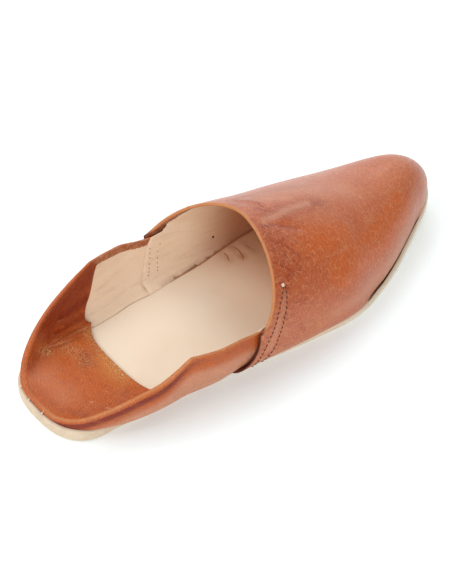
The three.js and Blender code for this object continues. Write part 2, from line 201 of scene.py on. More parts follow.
def ledge(y):
    at = np.asarray(y, float) / LENGTH
    return 1 + 0.6 * (1 - ease(at, 0.02, 0.12)) - 0.3 * ease(at, 0.6, 0.8)


def outline(inset, steps=110):
    """The sole's outline as a ring of plan points, moved in from the edge by inset(y)."""
    k = np.arange(steps + 1)
    y = LENGTH * (0.5 - 0.5 * np.cos(np.pi * k / steps))
    ends = rounded_end(y, HEEL_END) * rounded_end(LENGTH - y, TOE_END)
    left = look_up(SOLE_ROWS, "at", "left", y / LENGTH)
    right = look_up(SOLE_ROWS, "at", "right", y / LENGTH)
    middle = HALF_BALL * (right - left) / 2
    half = HALF_BALL * (right + left) / 2 * ends
    ring = np.concatenate([
        np.stack([middle - half, y], 1),
        np.stack([middle + half, y], 1)[-2:0:-1],
    ])
    along = np.roll(ring, -1, 0) - np.roll(ring, 1, 0)
    along /= np.linalg.norm(along, axis=1, keepdims=True)
    inward = np.stack([along[:, 1], -along[:, 0]], 1)
    return ring + inward * np.broadcast_to(inset(ring[:, 1]), len(ring))[:, None]


# Making meshes

def make_object(name, points, faces, material, values=None):
    """A smooth-shaded mesh object from points in millimetres; values are named numbers for each point."""
    mesh = bpy.data.meshes.new(name)
    places = (np.asarray(points, float) - [0, LENGTH / 2, 0]) * MM
    mesh.from_pydata(places.tolist(), [], faces)
    for key, numbers in (values or {}).items():
        layer = mesh.attributes.new(key, "FLOAT", "POINT")
        layer.data.foreach_set("value", np.ascontiguousarray(numbers, np.float32).ravel())
    mesh.validate()
    mesh.polygons.foreach_set("use_smooth", [True] * len(mesh.polygons))
    mesh.materials.append(material)
    made = bpy.data.objects.new(name, mesh)
    bpy.context.scene.collection.objects.link(made)
    merge_close(made)
    return made


def show(made, body, slot, *nodes):
    """Puts a finished piece on its body and hides the CAD nodes it stands for; slot is not used."""
    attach(made, body)
    if nodes:
        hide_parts(*nodes)
    return made


def merge_close(made):
    """Joins points that fall together, and turns the faces outward."""
    work = bmesh.new()
    work.from_mesh(made.data)
    bmesh.ops.remove_doubles(work, verts=work.verts, dist=1e-6)
    bmesh.ops.recalc_face_normals(work, faces=work.faces)
    work.to_mesh(made.data)
    work.free()


def ring_faces(rows, columns):
    """Quads between neighbouring points of closed rings, which are stored ring by ring."""
    faces = []
    for i in range(rows - 1):
        below = (i + 1) * columns
        for j in range(columns):
            right = (j + 1) % columns
            faces.append((i * columns + j, i * columns + right, below + right, below + j))
    return faces


def loop_faces(rows, columns, arc=0):
    """Faces of a closed sheet: each row runs out, round arc points and back, and both ends are shut."""
    width = 2 * columns + arc
    faces = ring_faces(rows, width)
    for start in (0, (rows - 1) * width):
        back = start + width - 1
        faces += [(start + j, start + j + 1, back - 1 - j, back - j) for j in range(columns - 1)]
        if arc:
            faces.append(tuple(range(start + columns - 1, start + columns + arc + 1)))
    return faces


def grid_normals(points):
    """Unit normals of a grid of points, whichever way the grid faces."""
    down = np.gradient(points, axis=0)
    across = np.gradient(points, axis=1)
    normal = np.cross(down, across)
    return normal / np.maximum(np.linalg.norm(normal, axis=2, keepdims=True), 1e-9)


def from_line(points, start, end):
    """How far points are from a straight line between two places, and their share of the way along it."""
    start, end = np.array(start, float), np.array(end, float)
    along = end - start
    t = np.clip((points - start) @ along / (along @ along), 0, 1)
    return np.linalg.norm(points - start - t[..., None] * along, axis=-1), t


CREASE_ENDS = (0.04, 0.96)


def relief(points, creases):
    """The height that soft ridges add: rows of two ends, a width and a depth, under 0 for a trough."""
    height = np.zeros(points.shape[:-1])
    for start, end, width, depth in creases:
        away, t = from_line(points, start, end)
        fade = np.sin(np.pi * np.clip(t, *CREASE_ENDS)) ** 0.5
        height += depth * fade * np.exp(-((away / width) ** 2))
    return height


def painted(points, strokes):
    """How strongly soft strokes colour points: rows of a strength, a width to fade over and a path."""
    amount = np.zeros(points.shape[:-1])
    for strength, width, *path in strokes:
        for start, end in zip(path[:-1], path[1:]):
            away, _ = from_line(points, start, end)
            amount = np.maximum(amount, strength * np.exp(-((away / width) ** 2)))
    return amount


def resampled(points, count):
    """A line of points laid again at even steps."""
    points = np.asarray(points, float)
    steps = np.concatenate([[0], np.cumsum(np.linalg.norm(np.diff(points, axis=0), axis=1))])
    even = np.linspace(0, steps[-1], count)
    return np.stack([np.interp(even, steps, points[:, k]) for k in range(points.shape[1])], 1)


def softened(points, passes, start, stop):
    """A line of points with its corners between two places worn round."""
    points = points.copy()
    for _ in range(passes):
        middle = (points[start - 1:stop - 1] + 2 * points[start:stop] + points[start + 1:stop + 1]) / 4
        points[start:stop] = middle
    return points


# Upper's surface

def girth(y, inset):
    at = y / LENGTH
    end = rounded_end(UPPER_TIP - inset - y, TOE_END)
    nose = rounded_end(UPPER_TIP - inset - y, NOSE_END)
    foot = lip_top(y) + GAP
    left = HALF_BALL * look_up(GIRTH_ROWS, "at", "left", at) - inset
    right = HALF_BALL * look_up(GIRTH_ROWS, "at", "right", at) - inset
    middle = (right - left) / 2
    half = (right + left) / 2 * end
    ridge = HALF_BALL * look_up(GIRTH_ROWS, "at", "ridge", at)
    sole_left = HALF_BALL * look_up(SOLE_ROWS, "at", "left", at) - ledge(y) - inset
    sole_right = HALF_BALL * look_up(SOLE_ROWS, "at", "right", at) - ledge(y) - inset
    return {
        "foot": foot,
        "ridge": np.clip(ridge, middle - RIDGE_LIMIT * half, middle + RIDGE_LIMIT * half),
        "left": middle - half,
        "right": middle + half,
        "tuck_left": np.minimum(np.maximum(left - sole_left, LEAST_TUCK), left) * end,
        "tuck_right": np.minimum(np.maximum(right - sole_right, LEAST_TUCK), right) * end,
        "widest": foot + (INSTEP_HEIGHT * look_up(GIRTH_ROWS, "at", "widest", at) - foot) * nose,
        "crown": foot + (INSTEP_HEIGHT * look_up(GIRTH_ROWS, "at", "crown", at) - inset - foot) * nose,
        "power": look_up(GIRTH_ROWS, "at", "power", at),
    }


def side_spread(rise):
    return (1 - (1 - rise) ** SIDE_POWER) ** (1 / SIDE_POWER)


def upper_point(y, turn, inset):
    """Points of the upper: turn is -1 at the left foot, 0 on the ridge and 1 at the right foot."""
    y, turn, inset = np.broadcast_arrays(*(np.asarray(v, float) for v in (y, turn, inset)))
    y = np.minimum(y, UPPER_TIP - inset - 1e-6)
    g = girth(y, inset)
    side = np.where(turn < 0, -1, 1)
    wide = np.where(turn < 0, g["left"], g["right"])
    tuck = np.where(turn < 0, g["tuck_left"], g["tuck_right"])
    climb = np.abs(turn)
    angle = np.clip(climb / CROWN_SHARE, 0, 1) * np.pi / 2
    drop = share(climb, CROWN_SHARE, 1)
    on_crown = climb <= CROWN_SHARE
    crown_x = g["ridge"] + (wide - g["ridge"]) * np.sin(angle) ** (2 / g["power"])
    crown_z = g["widest"] + (g["crown"] - g["widest"]) * np.abs(np.cos(angle)) ** (2 / g["power"])
    side_x = wide - side * tuck * (1 - side_spread(1 - drop))
    side_z = g["widest"] - (g["widest"] - g["foot"]) * drop
    return np.stack([np.where(on_crown, crown_x, side_x), y, np.where(on_crown, crown_z, side_z)], -1)


def turn_at(y, z, side):
    """The turn at which the upper has a height z on one side."""
    g = girth(np.asarray(y, float), 0.0)
    if z <= g["widest"]:
        drop = (g["widest"] - z) / (g["widest"] - g["foot"])
        return side * float(CROWN_SHARE + (1 - CROWN_SHARE) * drop)
    rise = float(share(z, g["widest"], g["crown"]))
    return side * CROWN_SHARE * math.acos(rise ** (float(g["power"]) / 2)) / (math.pi / 2)


def vamp_rear(turn):
    """The y of the vamp's rear edge: the throat edge over the crown, and a swept seam down each side."""
    climb = np.abs(turn)
    drop = share(climb, CROWN_SHARE, 1)
    angle = np.clip(climb / CROWN_SHARE, 0, 1) * np.pi / 2
    throat = THROAT_CORNER + (THROAT_MIDDLE - THROAT_CORNER) * np.abs(np.cos(angle)) ** THROAT_POWER
    seam = THROAT_CORNER - SEAM_SWEEP["back"] * drop ** SEAM_SWEEP["power"]
    return np.where(climb > CROWN_SHARE, seam, throat)


def vamp_turns(crown_steps, side_steps):
    crown = CROWN_SHARE * np.linspace(-1, 1, 2 * crown_steps + 1)
    down = CROWN_SHARE + (1 - CROWN_SHARE) * np.sin(np.pi / 2 * np.arange(1, side_steps + 1) / side_steps)
    return np.concatenate([-down[::-1], crown, down])


SMALL_STEP = 0.3
SMALL_TURN = 0.004
LEAST_FLAT = 0.2

# The lower edge along the outer side of the toe, drawn in: over the whole side, and at the foot.
TOE_TUCK = {"start": 196, "end": 266, "in": 1.0}
FOOT_GAP = {"start": 176, "end": 245, "in": 1.1}


def upper_grain(y, turn):
    """Points of the upper's outer face, with their normals that point inward."""
    y = np.minimum(y, UPPER_TIP - 1e-6)
    along = upper_point(y + SMALL_STEP, turn, 0) - upper_point(y - SMALL_STEP, turn, 0)
    across = upper_point(y, turn + SMALL_TURN, 0) - upper_point(y, turn - SMALL_TURN, 0)
    inward = np.cross(along, across)
    inward /= np.maximum(np.linalg.norm(inward, axis=-1, keepdims=True), 1e-9)
    flat = inward * [1, 1, 0]
    flat /= np.maximum(np.linalg.norm(flat, axis=-1, keepdims=True), LEAST_FLAT)
    drawn = np.zeros(np.shape(y))
    for tuck, first, last in ((TOE_TUCK, 0.4, 0.68), (FOOT_GAP, 0.82, 1.0)):
        open_share = np.sin(np.pi * share(y, tuck["start"], tuck["end"])) ** 0.6
        drawn = drawn + tuck["in"] * open_share * ease(turn, first, last)
    return upper_point(y, turn, 0) + flat * drawn[..., None], inward


# Heel band

BAND_FOOT_RING = outline(ledge, 60)


def nearest_foot(point):
    start = BAND_FOOT_RING
    along = np.roll(start, -1, 0) - start
    t = np.clip(((point - start) * along).sum(1) / (along ** 2).sum(1), 0, 1)
    places = start + along * t[:, None]
    return places[np.argmin(np.linalg.norm(places - point, axis=1))]


def row_at(rows, place):
    numbered = [{**row, "k": k} for k, row in enumerate(rows)]
    return {column: float(look_up(numbered, "k", column, place)) for column in rows[0]}


def collar_point(rows, place, side):
    row = row_at(rows, place)
    height = row["z"] - row["sag"] if side > 0 else row["z"]
    return np.array([side * HALF_COLLAR * row["x"], LENGTH * row["y"], COLLAR_HEIGHT * height])


def fold_station(place, side):
    """A station of the folded part of the band, at a place between the fold rows."""
    top = collar_point(FOLD_ROWS, place, side)
    foot = np.array([0, ledge(0)]) if place == 0 else nearest_foot(top[:2])
    ahead = collar_point(FOLD_ROWS, min(place + NEARBY, len(FOLD_ROWS) - 1), side)
    behind = collar_point(FOLD_ROWS, abs(place - NEARBY), -side if place < NEARBY else side)
    inward = side * np.array([behind[1] - ahead[1], ahead[0] - behind[0], 0])
    return {"top": top, "foot": foot, "low": float(lip_top(foot[1])) + GAP,
            "inward": inward / np.linalg.norm(inward), "thickness": WALL}


def front_station(y, side):
    """A station in front of the collar corner, where the band stands single, then passes under the vamp."""
    first = LENGTH * TOP_LINE_ROWS[0]["y"]
    last = LENGTH * TOP_LINE_ROWS[-1]["y"]
    seam = THROAT_CORNER - SEAM_CLEARANCE
    under = float(ease(y, seam - TUCK_RUN, seam))
    shown = collar_point(TOP_LINE_ROWS, (len(TOP_LINE_ROWS) - 1) * float(share(y, first, last)), side)
    top = mix(shown, upper_point(y, side * CROWN_SHARE, UNDER_VAMP), under)
    top[1] = y
    column = "left" if side < 0 else "right"
    half = HALF_BALL * float(look_up(SOLE_ROWS, "at", column, y / LENGTH))
    foot = np.array([side * (half - float(ledge(y)) - UNDER_VAMP * under), y])
    return {"top": top, "foot": foot, "low": float(lip_top(y)) + GAP + UNDER_LIFT * under,
            "inward": np.array([-side, 0, 0]), "thickness": mix(WALL, SKIVED_WALL, under)}


CORNER = len(FOLD_ROWS) - 1
ROW_PACE = 15
HEEL_CRUSH = 1.1


def station_at(arc, side):
    """A station counted in fold rows from the middle of the heel, and on at an even pace past the corner."""
    if arc > CORNER:
        station = front_station(LENGTH * TOP_LINE_ROWS[0]["y"] + (arc - CORNER) * ROW_PACE, side)
    else:
        station = fold_station(arc, side)
    station["crushed"] = 1 - float(ease(arc, 1.2, 3.2))
    station["top"][2] -= HEEL_CRUSH * station["crushed"]
    station["closing"] = min(arc / CORNER, 1) ** FOLD_CLOSING
    station["inner"] = (WALL + FOLD_GAP) * (1 - station["closing"]) + station["thickness"]
    return station


def wall_point(station, z, depth):
    top, foot, low = station["top"], station["foot"], station["low"]
    spread = float(side_spread(share(z, low, top[2])))
    place = np.array([mix(foot[0], top[0], spread), mix(foot[1], top[1], spread), max(z, low)])
    return place + station["inward"] * depth


def wall_line(station, low, high, depth, count):
    return [wall_point(station, z, depth) for z in low + (high - low) * np.linspace(0, 1, count) ** 1.3]


WALL_COUNT = 26
FOLD_COUNT = 9
FLAP_COUNT = 84
LEAN_COUNT = 20
RIM_ROUND = 0.45
FOLD_BULGE = 1.2
CRUSHED_BULGE = 0.25
TURNED_STRIP = 4.0
BEND_REACH = (9, 34)
BEND_PASSES = (16, 90)
WALL_SLANT = 2.6
SLANT_ENDS = (3.4, 5.0)


def flap_path(arc, side, top_end, ragged):
    """The leather from the fold to its free edge; in front of the corner, the strip that is turned in."""
    corner = FLAP_ROWS[-1]
    ahead = float(share(arc, CORNER, CORNER + 1))
    flap = row_at(FLAP_ROWS, min(arc, CORNER))
    drift = flap["drift"] if arc <= CORNER else corner["drift"] * (1 - ahead)
    end = station_at(arc + drift, side)
    sag = row_at(FOLD_ROWS, arc)["sag"] if side > 0 and arc <= CORNER else 0
    lowest = COLLAR_HEIGHT * (flap["low"] - sag)
    if arc > CORNER:
        lowest = end["top"][2] - mix(COLLAR_HEIGHT * (1 - corner["low"]), TURNED_STRIP, ahead) - ragged
    slant = WALL_SLANT * (1 - float(ease(arc, *SLANT_ENDS)))
    path = []
    for t in np.linspace(0, 1, LEAN_COUNT):
        leaning = station_at(arc + drift * t, side)
        depth = leaning["inner"] + slant * t
        path.append(wall_point(leaning, mix(max(top_end, lowest + 0.05), lowest, t), depth))
    on_floor = float(np.clip(flap["run"], 0, 1)) if arc <= CORNER else 0
    if on_floor > 0.01:
        edge = np.array([side * HALF_COLLAR * flap["x"], LENGTH * flap["y"], COLLAR_HEIGHT * FLAP_FLOOR])
        path.append(mix(path[-1], edge, on_floor))
    path = resampled(path, FLAP_COUNT)
    if on_floor > 0.01:
        crushed = station_at(arc, side)["crushed"]
        reach = round(mix(*BEND_REACH, crushed))
        bend = int(np.argmax(np.abs(np.diff(path[:, 2], 2)))) + 1
        start, stop = max(bend - reach, 1), min(bend + reach, FLAP_COUNT - 1)
        path = softened(path, round(mix(*BEND_PASSES, crushed)), start, stop)
    return path


def band_profile(arc, side, ragged):
    """The grain side of one station: up the outside, over the fold, then down and along the flap."""
    station = station_at(arc, side)
    top_end = station["top"][2] - RIM_ROUND
    grain = wall_line(station, station["low"], top_end, 0, WALL_COUNT)
    across = station["inner"] / 2
    crest = grain[-1] + station["inward"] * across
    bulge = mix(mix(FOLD_BULGE, CRUSHED_BULGE, station["crushed"]), RIM_ROUND, station["closing"])
    for angle in np.linspace(0, np.pi, FOLD_COUNT + 2)[1:-1]:
        over = -math.cos(angle) * across * station["inward"]
        grain.append(crest + over + [0, 0, math.sin(angle) * bulge])
    return np.concatenate([grain, flap_path(arc, side, top_end, ragged)])


# Leather sheets

EDGE_SWELL = 0.8
FAR_FROM_EDGE = 99.0


def leather_sheet(grain, thickness, arc=3):
    """A closed sheet under a grid of grain-side points: its last column's edge is rounded, the rest are cut.

    Gives the points, the faces, and for each point its row, column and depth from 0, grain, to 1, flesh.
    """
    rows, columns = grain.shape[:2]
    thickness = np.broadcast_to(thickness, (rows, columns))
    normal = grid_normals(grain)
    flesh = grain - normal * thickness[..., None]
    outward = grain[:, -1] - grain[:, -3]
    outward /= np.maximum(np.linalg.norm(outward, axis=1, keepdims=True), 1e-9)
    half = thickness[:, -1:] / 2
    edge = []
    for k in range(1, arc + 1):
        angle = math.pi * k / (arc + 1)
        lift = half * math.cos(angle)
        out = outward * half * math.sin(angle) * EDGE_SWELL
        edge.append(grain[:, -1] - normal[:, -1] * (half - lift) + out)
    loop = np.concatenate([grain, np.stack(edge, 1), flesh[:, ::-1]], 1)
    faces = loop_faces(rows, columns, arc)
    column = np.concatenate([np.arange(columns), np.full(arc, columns - 1), np.arange(columns)[::-1]])
    depth = np.concatenate([np.zeros(columns), np.linspace(0, 1, arc + 2)[1:-1], np.ones(columns)])
    row_of = np.repeat(np.arange(rows), loop.shape[1])
    return loop.reshape(-1, 3), faces, row_of, np.tile(column, rows), np.tile(depth, rows)


def lengths_along(points, axis):
    """How far along its own line each point of a grid lies, in millimetres."""
    steps = np.linalg.norm(np.diff(points, axis=axis), axis=2)
    start = np.zeros_like(np.take(steps, [0], axis))
    return np.concatenate([start, np.cumsum(steps, axis)], axis)


# Finishes

class Number:
    """A number or colour that changes over a surface: Python's operators add its Math nodes."""

    def __init__(self, tree, socket):
        self.tree = tree
        self.socket = socket

    def __add__(self, other):
        return self.tree.math("ADD", self, other)

    def __sub__(self, other):
        return self.tree.math("SUBTRACT", self, other)

    def __rsub__(self, other):
        return self.tree.math("SUBTRACT", other, self)

    def __mul__(self, other):
        return self.tree.math("MULTIPLY", self, other)

    __radd__ = __add__
    __rmul__ = __mul__

    def soft(self, low, high):
        """0 below low and 1 above high, with a smooth ramp between; the other way round if low is higher."""
        if low > high:
            return 1 - self.soft(high, low)
        return self.tree.ramp({"Value": self, "From Min": low, "From Max": high})


class Tree:
    """The nodes of a material or of the world."""

    def __init__(self, owner):
        owner.use_nodes = True
        self.nodes = owner.node_tree.nodes
        self.links = owner.node_tree.links

    def fill(self, sockets, inputs):
        """Gives sockets their values or their links."""
        for key, value in inputs.items():
            if isinstance(value, Number):
                self.links.new(value.socket, sockets[key])
            else:
                sockets[key].default_value = value

    def number(self, kind, output, inputs=None, **settings):
        """An output of a new node, after its settings and its inputs."""
        node = self.nodes.new(kind)
        for key, value in settings.items():
            setattr(node, key, value)
        self.fill(node.inputs, inputs or {})
        return Number(self, node.outputs[output])

    def math(self, operation, first, second):
        return self.number("ShaderNodeMath", 0, {0: first, 1: second}, operation=operation)

    def vector_math(self, operation, inputs, output="Vector"):
        return self.number("ShaderNodeVectorMath", output, inputs, operation=operation)

    def ramp(self, inputs):
        return self.number("ShaderNodeMapRange", "Result", inputs, interpolation_type="SMOOTHSTEP")


class Finish(Tree):
    """A procedural material, built on one Principled shader."""

    def __init__(self, name, **constants):
        self.material = bpy.data.materials.new(name)
        super().__init__(self.material)
        self.shader = self.nodes["Principled BSDF"]
        for key, value in constants.items():
            self.shader.inputs[key.replace("_", " ").title().replace("Ior", "IOR")].default_value = value

    def place(self):
        """The surface's place in millimetres from the middle of the sole, as a vector."""
        return self.scaled(self.number("ShaderNodeTexCoord", "Object"), 1 / MM)

    def scaled(self, vector, factor):
        return self.vector_math("SCALE", {0: vector, "Scale": factor})

    def moved(self, vector, shift):
        return self.vector_math("ADD", {0: vector, 1: shift})

    def stretched(self, vector, x, y, z=1):
        return self.vector_math("MULTIPLY", {0: vector, 1: (x, y, z)})

    def stored(self, name):
        return self.number("ShaderNodeAttribute", "Fac", attribute_name=name)

    def leather(self):
        """The place on the leather laid flat, in millimetres along it and across it."""
        inputs = {"X": self.stored("along"), "Y": self.stored("across"), "Z": 0.0}
        return self.number("ShaderNodeCombineXYZ", "Vector", inputs)

    def length_share(self, low, high):
        """0 to 1 along the shoe between two places, in millimetres from the middle of the sole."""
        return self.number("ShaderNodeSeparateXYZ", "Y", {"Vector": self.place()}).soft(low, high)

    def noise(self, vector, scale, detail=2.0, rough=0.5, output="Fac"):
        inputs = {"Vector": vector, "Scale": scale, "Detail": detail, "Roughness": rough}
        return self.number("ShaderNodeTexNoise", output, inputs)

    def cells(self, vector, scale):
        inputs = {"Vector": vector, "Scale": scale}
        return self.number("ShaderNodeTexVoronoi", "Distance", inputs, feature="DISTANCE_TO_EDGE")

    def warped(self, vector, scale, amount):
        """A place moved about by soft noise, so that patterns on it don't run straight."""
        return self.moved(vector, self.scaled(self.noise(vector, scale, output="Color"), amount))

    def blend(self, amount, first, second):
        """A colour between two, by an amount from 0 to 1."""
        inputs = {0: amount, 6: first, 7: second}
        for key in (6, 7):
            if not isinstance(inputs[key], Number):
                inputs[key] = (*inputs[key], 1)
        return self.number("ShaderNodeMix", 2, inputs, data_type="RGBA", clamp_factor=True)

    def layered(self, colour, *layers):
        """A colour with others laid over it in turn, each with an amount from 0 to 1."""
        for amount, over in layers:
            colour = self.blend(amount, colour, over)
        return colour

    def built(self, colour, roughness, height, distance, coat=None):
        """The finished material: height is its relief, in units of a distance in millimetres."""
        inputs = {"Height": height, "Distance": distance * MM, "Strength": 1.0}
        looks = {"Base Color": colour, "Normal": self.number("ShaderNodeBump", "Normal", inputs)}
        if roughness is not None:
            looks["Roughness"] = roughness
        if coat is not None:
            looks["Coat Weight"] = coat
        self.fill(self.shader.inputs, looks)
        return self.material


COGNAC = (0.50, 0.105, 0.026)
COGNAC_DEEP = (0.33, 0.042, 0.008)
COGNAC_PALE = (0.58, 0.175, 0.060)
COGNAC_NO_SHEEN = (0.57, 0.108, 0.011)
COGNAC_SEAT = (0.62, 0.13, 0.014)
WALL_DEEP = (0.24, 0.022, 0.003)
COGNAC_LINE = (0.80, 0.34, 0.15)
COGNAC_PINK = (0.66, 0.30, 0.18)
COGNAC_WORN = (0.62, 0.19, 0.03)
CREST_HIGHLIGHT = (0.62, 0.24, 0.085)
RIM_TAN = (0.55, 0.21, 0.075)
ABRADED = (0.88, 0.60, 0.26)
CUT_EDGE_AND_SHADE = (0.10, 0.016, 0.006)
TURNED_DARK = (0.42, 0.12, 0.045)
TURNED_PALE = (0.58, 0.24, 0.12)
LINING_BEIGE = (0.88, 0.69, 0.51)
LINING_SHADE = (0.60, 0.39, 0.25)
LINING_DEEP = (0.56, 0.22, 0.095)
INSOLE_CREAM = (0.86, 0.72, 0.56)
INSOLE_SHADE = (0.74, 0.52, 0.34)
INSOLE_UNDER_VAMP_SHADE = (0.78, 0.40, 0.195)
SOLE_PALE = (0.78, 0.64, 0.48)
SOLE_SHADE = (0.52, 0.36, 0.24)
THREAD_DARK = (0.035, 0.012, 0.006)
THREAD_PALE = (0.62, 0.54, 0.44)
CREASE_BROWN = (0.36, 0.15, 0.07)
SHADOW_DEEP = (0.02, 0.008, 0.004)
SHADOW_PALE = (0.06, 0.025, 0.012)


def grain_height(finish, leather, scale=1.15):
    """Fine pebbled grain of full-grain leather: small cells with soft borders."""
    cells = finish.cells(finish.warped(leather, 0.6, 0.8), scale).soft(0, 0.35)
    fine = finish.noise(leather, 2.6, 3)
    return cells * 0.7 + fine * 0.5


def crazing(finish, leather, along, across, width):
    """A net of thin irregular lines, drawn out one way, that comes and goes over the leather."""
    bent = finish.warped(finish.stretched(leather, along, across), 0.8, 1.0)
    bent = finish.warped(bent, 2.3, 0.25)
    return finish.cells(bent, 1.0).soft(width, 0) * finish.noise(leather, 0.22, 3, 0.6).soft(0.34, 0.62)


def turned_leather(fine):
    """The two browns of the leather's turned flesh side."""
    return fine.tree.blend(fine.soft(0.35, 0.65), TURNED_DARK, TURNED_PALE)


def vamp_finish():
    finish = Finish("polished_cognac_leather", coat_roughness=0.22, specular_ior_level=0.3)
    place, leather = finish.place(), finish.leather()
    mottle = finish.noise(place, 0.035, 3, 0.6)
    fine = finish.noise(place, 0.35, 4, 0.65)
    speck = finish.noise(finish.stretched(leather, 1.0, 0.6), 1.0, 4, 0.7).soft(0.46, 0.66)
    net = crazing(finish, leather, 0.52, 0.26, 0.085)
    wrinkles = crazing(finish, finish.moved(leather, (31, 17, 0)), 0.30, 0.11, 0.032)
    drawn_out = finish.noise(finish.warped(finish.stretched(leather, 0.12, 0.75), 0.3, 1.3), 1.0, 4, 0.6)
    to_rim, low = finish.stored("rim"), finish.stored("low")
    rim = to_rim.soft(0.7, 0.0)
    streaks = drawn_out.soft(0.48, 0.66) * to_rim.soft(40, 8)
    dark = finish.stored("dark") * (0.55 + fine * 0.7)
    colour = finish.layered(
        COGNAC,
        (mottle.soft(0.35, 0.72) * 0.6, COGNAC_PALE),
        # Painted: the saturated band where no sheen falls.
        (finish.stored("no_sheen").soft(0.25, 0.7), COGNAC_NO_SHEEN),
        (speck * 0.6, COGNAC_DEEP),
        (streaks * 0.7, COGNAC_DEEP),
        # Darker patches and painted shade in the wrinkles.
        (dark, WALL_DEEP),
        (net * 0.5, COGNAC_LINE),
        (wrinkles * 0.5, COGNAC_LINE),
        # Painted sheen and painted reflection of the floor.
        (finish.stored("pale") * (0.4 + fine) * 0.8, COGNAC_PINK),
        (finish.stored("flesh"), turned_leather(fine)),
        (rim * (1 - low), RIM_TAN),
        # The cut edge down the side seams: its own dark edge colour, and painted shade of the gap beside the
        # band.
        (to_rim.soft(0.5, -0.4) * low, CUT_EDGE_AND_SHADE),
    )
    height = grain_height(finish, leather) * 0.35 - net * 0.6 - wrinkles * 0.8 - speck * 0.3 + streaks * 0.5
    roughness = 0.34 + mottle * 0.1 + net * 0.12
    return finish.built(colour, roughness, height, 0.22, coat=0.36 - rim * 0.25 - dark * 0.1)


def band_finish():
    finish = Finish("heel_band_leather", coat_roughness=0.3, specular_ior_level=0.2)
    place, leather = finish.place(), finish.leather()
    mottle = finish.noise(place, 0.05, 3, 0.6)
    fine = finish.noise(place, 0.4, 4, 0.7)
    streaks = finish.noise(finish.warped(finish.stretched(leather, 0.10, 0.55), 0.3, 1.2), 1.0, 4, 0.6)
    pebbles = grain_height(finish, place, 0.85)
    flap, near, below = (finish.stored(name) for name in ("flap", "near", "below"))
    outside = 1 - flap
    scraped = finish.noise(place, 1.1, 3, 0.75).soft(0.50, 0.58) * finish.stored("speckled")
    behind_corner = 1 - finish.stored("front") * 0.85
    # Below the crest on the near outer wall: burnished streaks of darker leather and painted shade.
    burnish_and_shade = below.soft(1.8, 2.8) * below.soft(7.5, 4.5) * outside * near * behind_corner
    colour = finish.layered(
        COGNAC_SEAT,
        (mottle.soft(0.32, 0.72) * 0.6, COGNAC_PALE),
        (fine.soft(0.48, 0.7) * 0.4, COGNAC_DEEP),
        (pebbles.soft(0.6, 0.35) * 0.4, COGNAC_DEEP),
        (finish.stored("worn") * (0.5 + fine * 0.6), COGNAC_WORN),
        # The far inner wall and the creases: darker burnished leather and painted shade.
        (finish.stored("dark") * flap * (0.6 + fine * 0.6), WALL_DEEP),
        # Painted highlights on the crease ridges, and pale spots and patches.
        (finish.stored("pale") * flap * (0.5 + fine * 0.7), COGNAC_PINK),
        (scraped * 0.85, ABRADED),
        (burnish_and_shade * streaks.soft(0.1, 0.5), WALL_DEEP),
        # Painted reflection of the white floor on the lower outer wall.
        (below.soft(7, 13) * outside * 0.75, COGNAC_PINK),
        (finish.stored("strip"), turned_leather(fine)),
        # Painted highlight along the crest of the fold, strongest on the near side.
        (below.soft(1.7, 0.3) * (0.15 + near * 0.65), CREST_HIGHLIGHT),
    )
    height = pebbles * 0.9 + streaks * 0.4 + scraped * 0.4
    return finish.built(colour, 0.42 + fine * 0.16, height, 0.5, coat=0.11 + outside * 0.17)


def lining_finish():
    finish = Finish("pale_lining_leather", coat_weight=0.0)
    fuzz = finish.noise(finish.place(), 1.2, 4, 0.7)
    bent = finish.warped(finish.stretched(finish.leather(), 0.05, 0.32), 0.2, 1.6)
    wrinkles = finish.noise(bent, 1.0, 3, 0.55)
    colour = finish.layered(
        LINING_BEIGE,
        # Painted shade in the wrinkles.
        (wrinkles.soft(0.5, 0.7) * 0.3, LINING_SHADE),
        (fuzz.soft(0.45, 0.7) * 0.15, LINING_SHADE),
        # Painted shade under the vamp, warmed as by light bounced off the leather, deeper towards the toe.
        (finish.length_share(-12, 28) * 0.85, LINING_DEEP),
        (finish.stored("edge").soft(0.8, 0.2) * 0.8, LINING_DEEP),
    )
    return finish.built(colour, 0.78 + fuzz * 0.1, wrinkles + fuzz * 0.2, 0.28)


def insole_finish():
    finish = Finish("cream_insole_leather", coat_weight=0.0)
    cloud = finish.noise(finish.place(), 0.03, 3, 0.55)
    fuzz = finish.noise(finish.place(), 1.3, 4, 0.7)
    colour = finish.layered(
        INSOLE_CREAM,
        (cloud.soft(0.4, 0.8) * 0.25, INSOLE_SHADE),
        (fuzz.soft(0.5, 0.75) * 0.12, INSOLE_SHADE),
        # Painted shade under the vamp, warmed as by light bounced off the leather, deeper towards the toe.
        (finish.length_share(-25, 50) * 0.8, INSOLE_UNDER_VAMP_SHADE),
        # Painted shade in the creases.
        (finish.stored("dark"), LINING_DEEP),
    )
    return finish.built(colour, 0.7 + fuzz * 0.12, fuzz, 0.08)


def sole_finish():
    finish = Finish("natural_sole_leather", coat_weight=0.0)
    place = finish.place()
    fibres = finish.noise(finish.stretched(place, 0.12, 0.12, 1.6), 1.0, 4, 0.6)
    blotches = finish.noise(place, 0.12, 4, 0.65)
    fuzz = finish.noise(place, 1.4, 4, 0.7)
    colour = finish.layered(
        SOLE_PALE,
        (fibres.soft(0.45, 0.75) * 0.35, SOLE_SHADE),
        (blotches.soft(0.4, 0.7) * 0.2 + finish.stored("dark") * 0.6, SOLE_SHADE),
    )
    return finish.built(colour, 0.62 + fuzz * 0.2, fibres + fuzz * 0.5, 0.15)


def thread_finish(name, colour):
    finish = Finish(name, roughness=0.6)
    twist = finish.noise(finish.place(), 3.0, 2)
    return finish.built(finish.blend(twist, colour, tuple(1.6 * c for c in colour)), None, twist, 0.08)


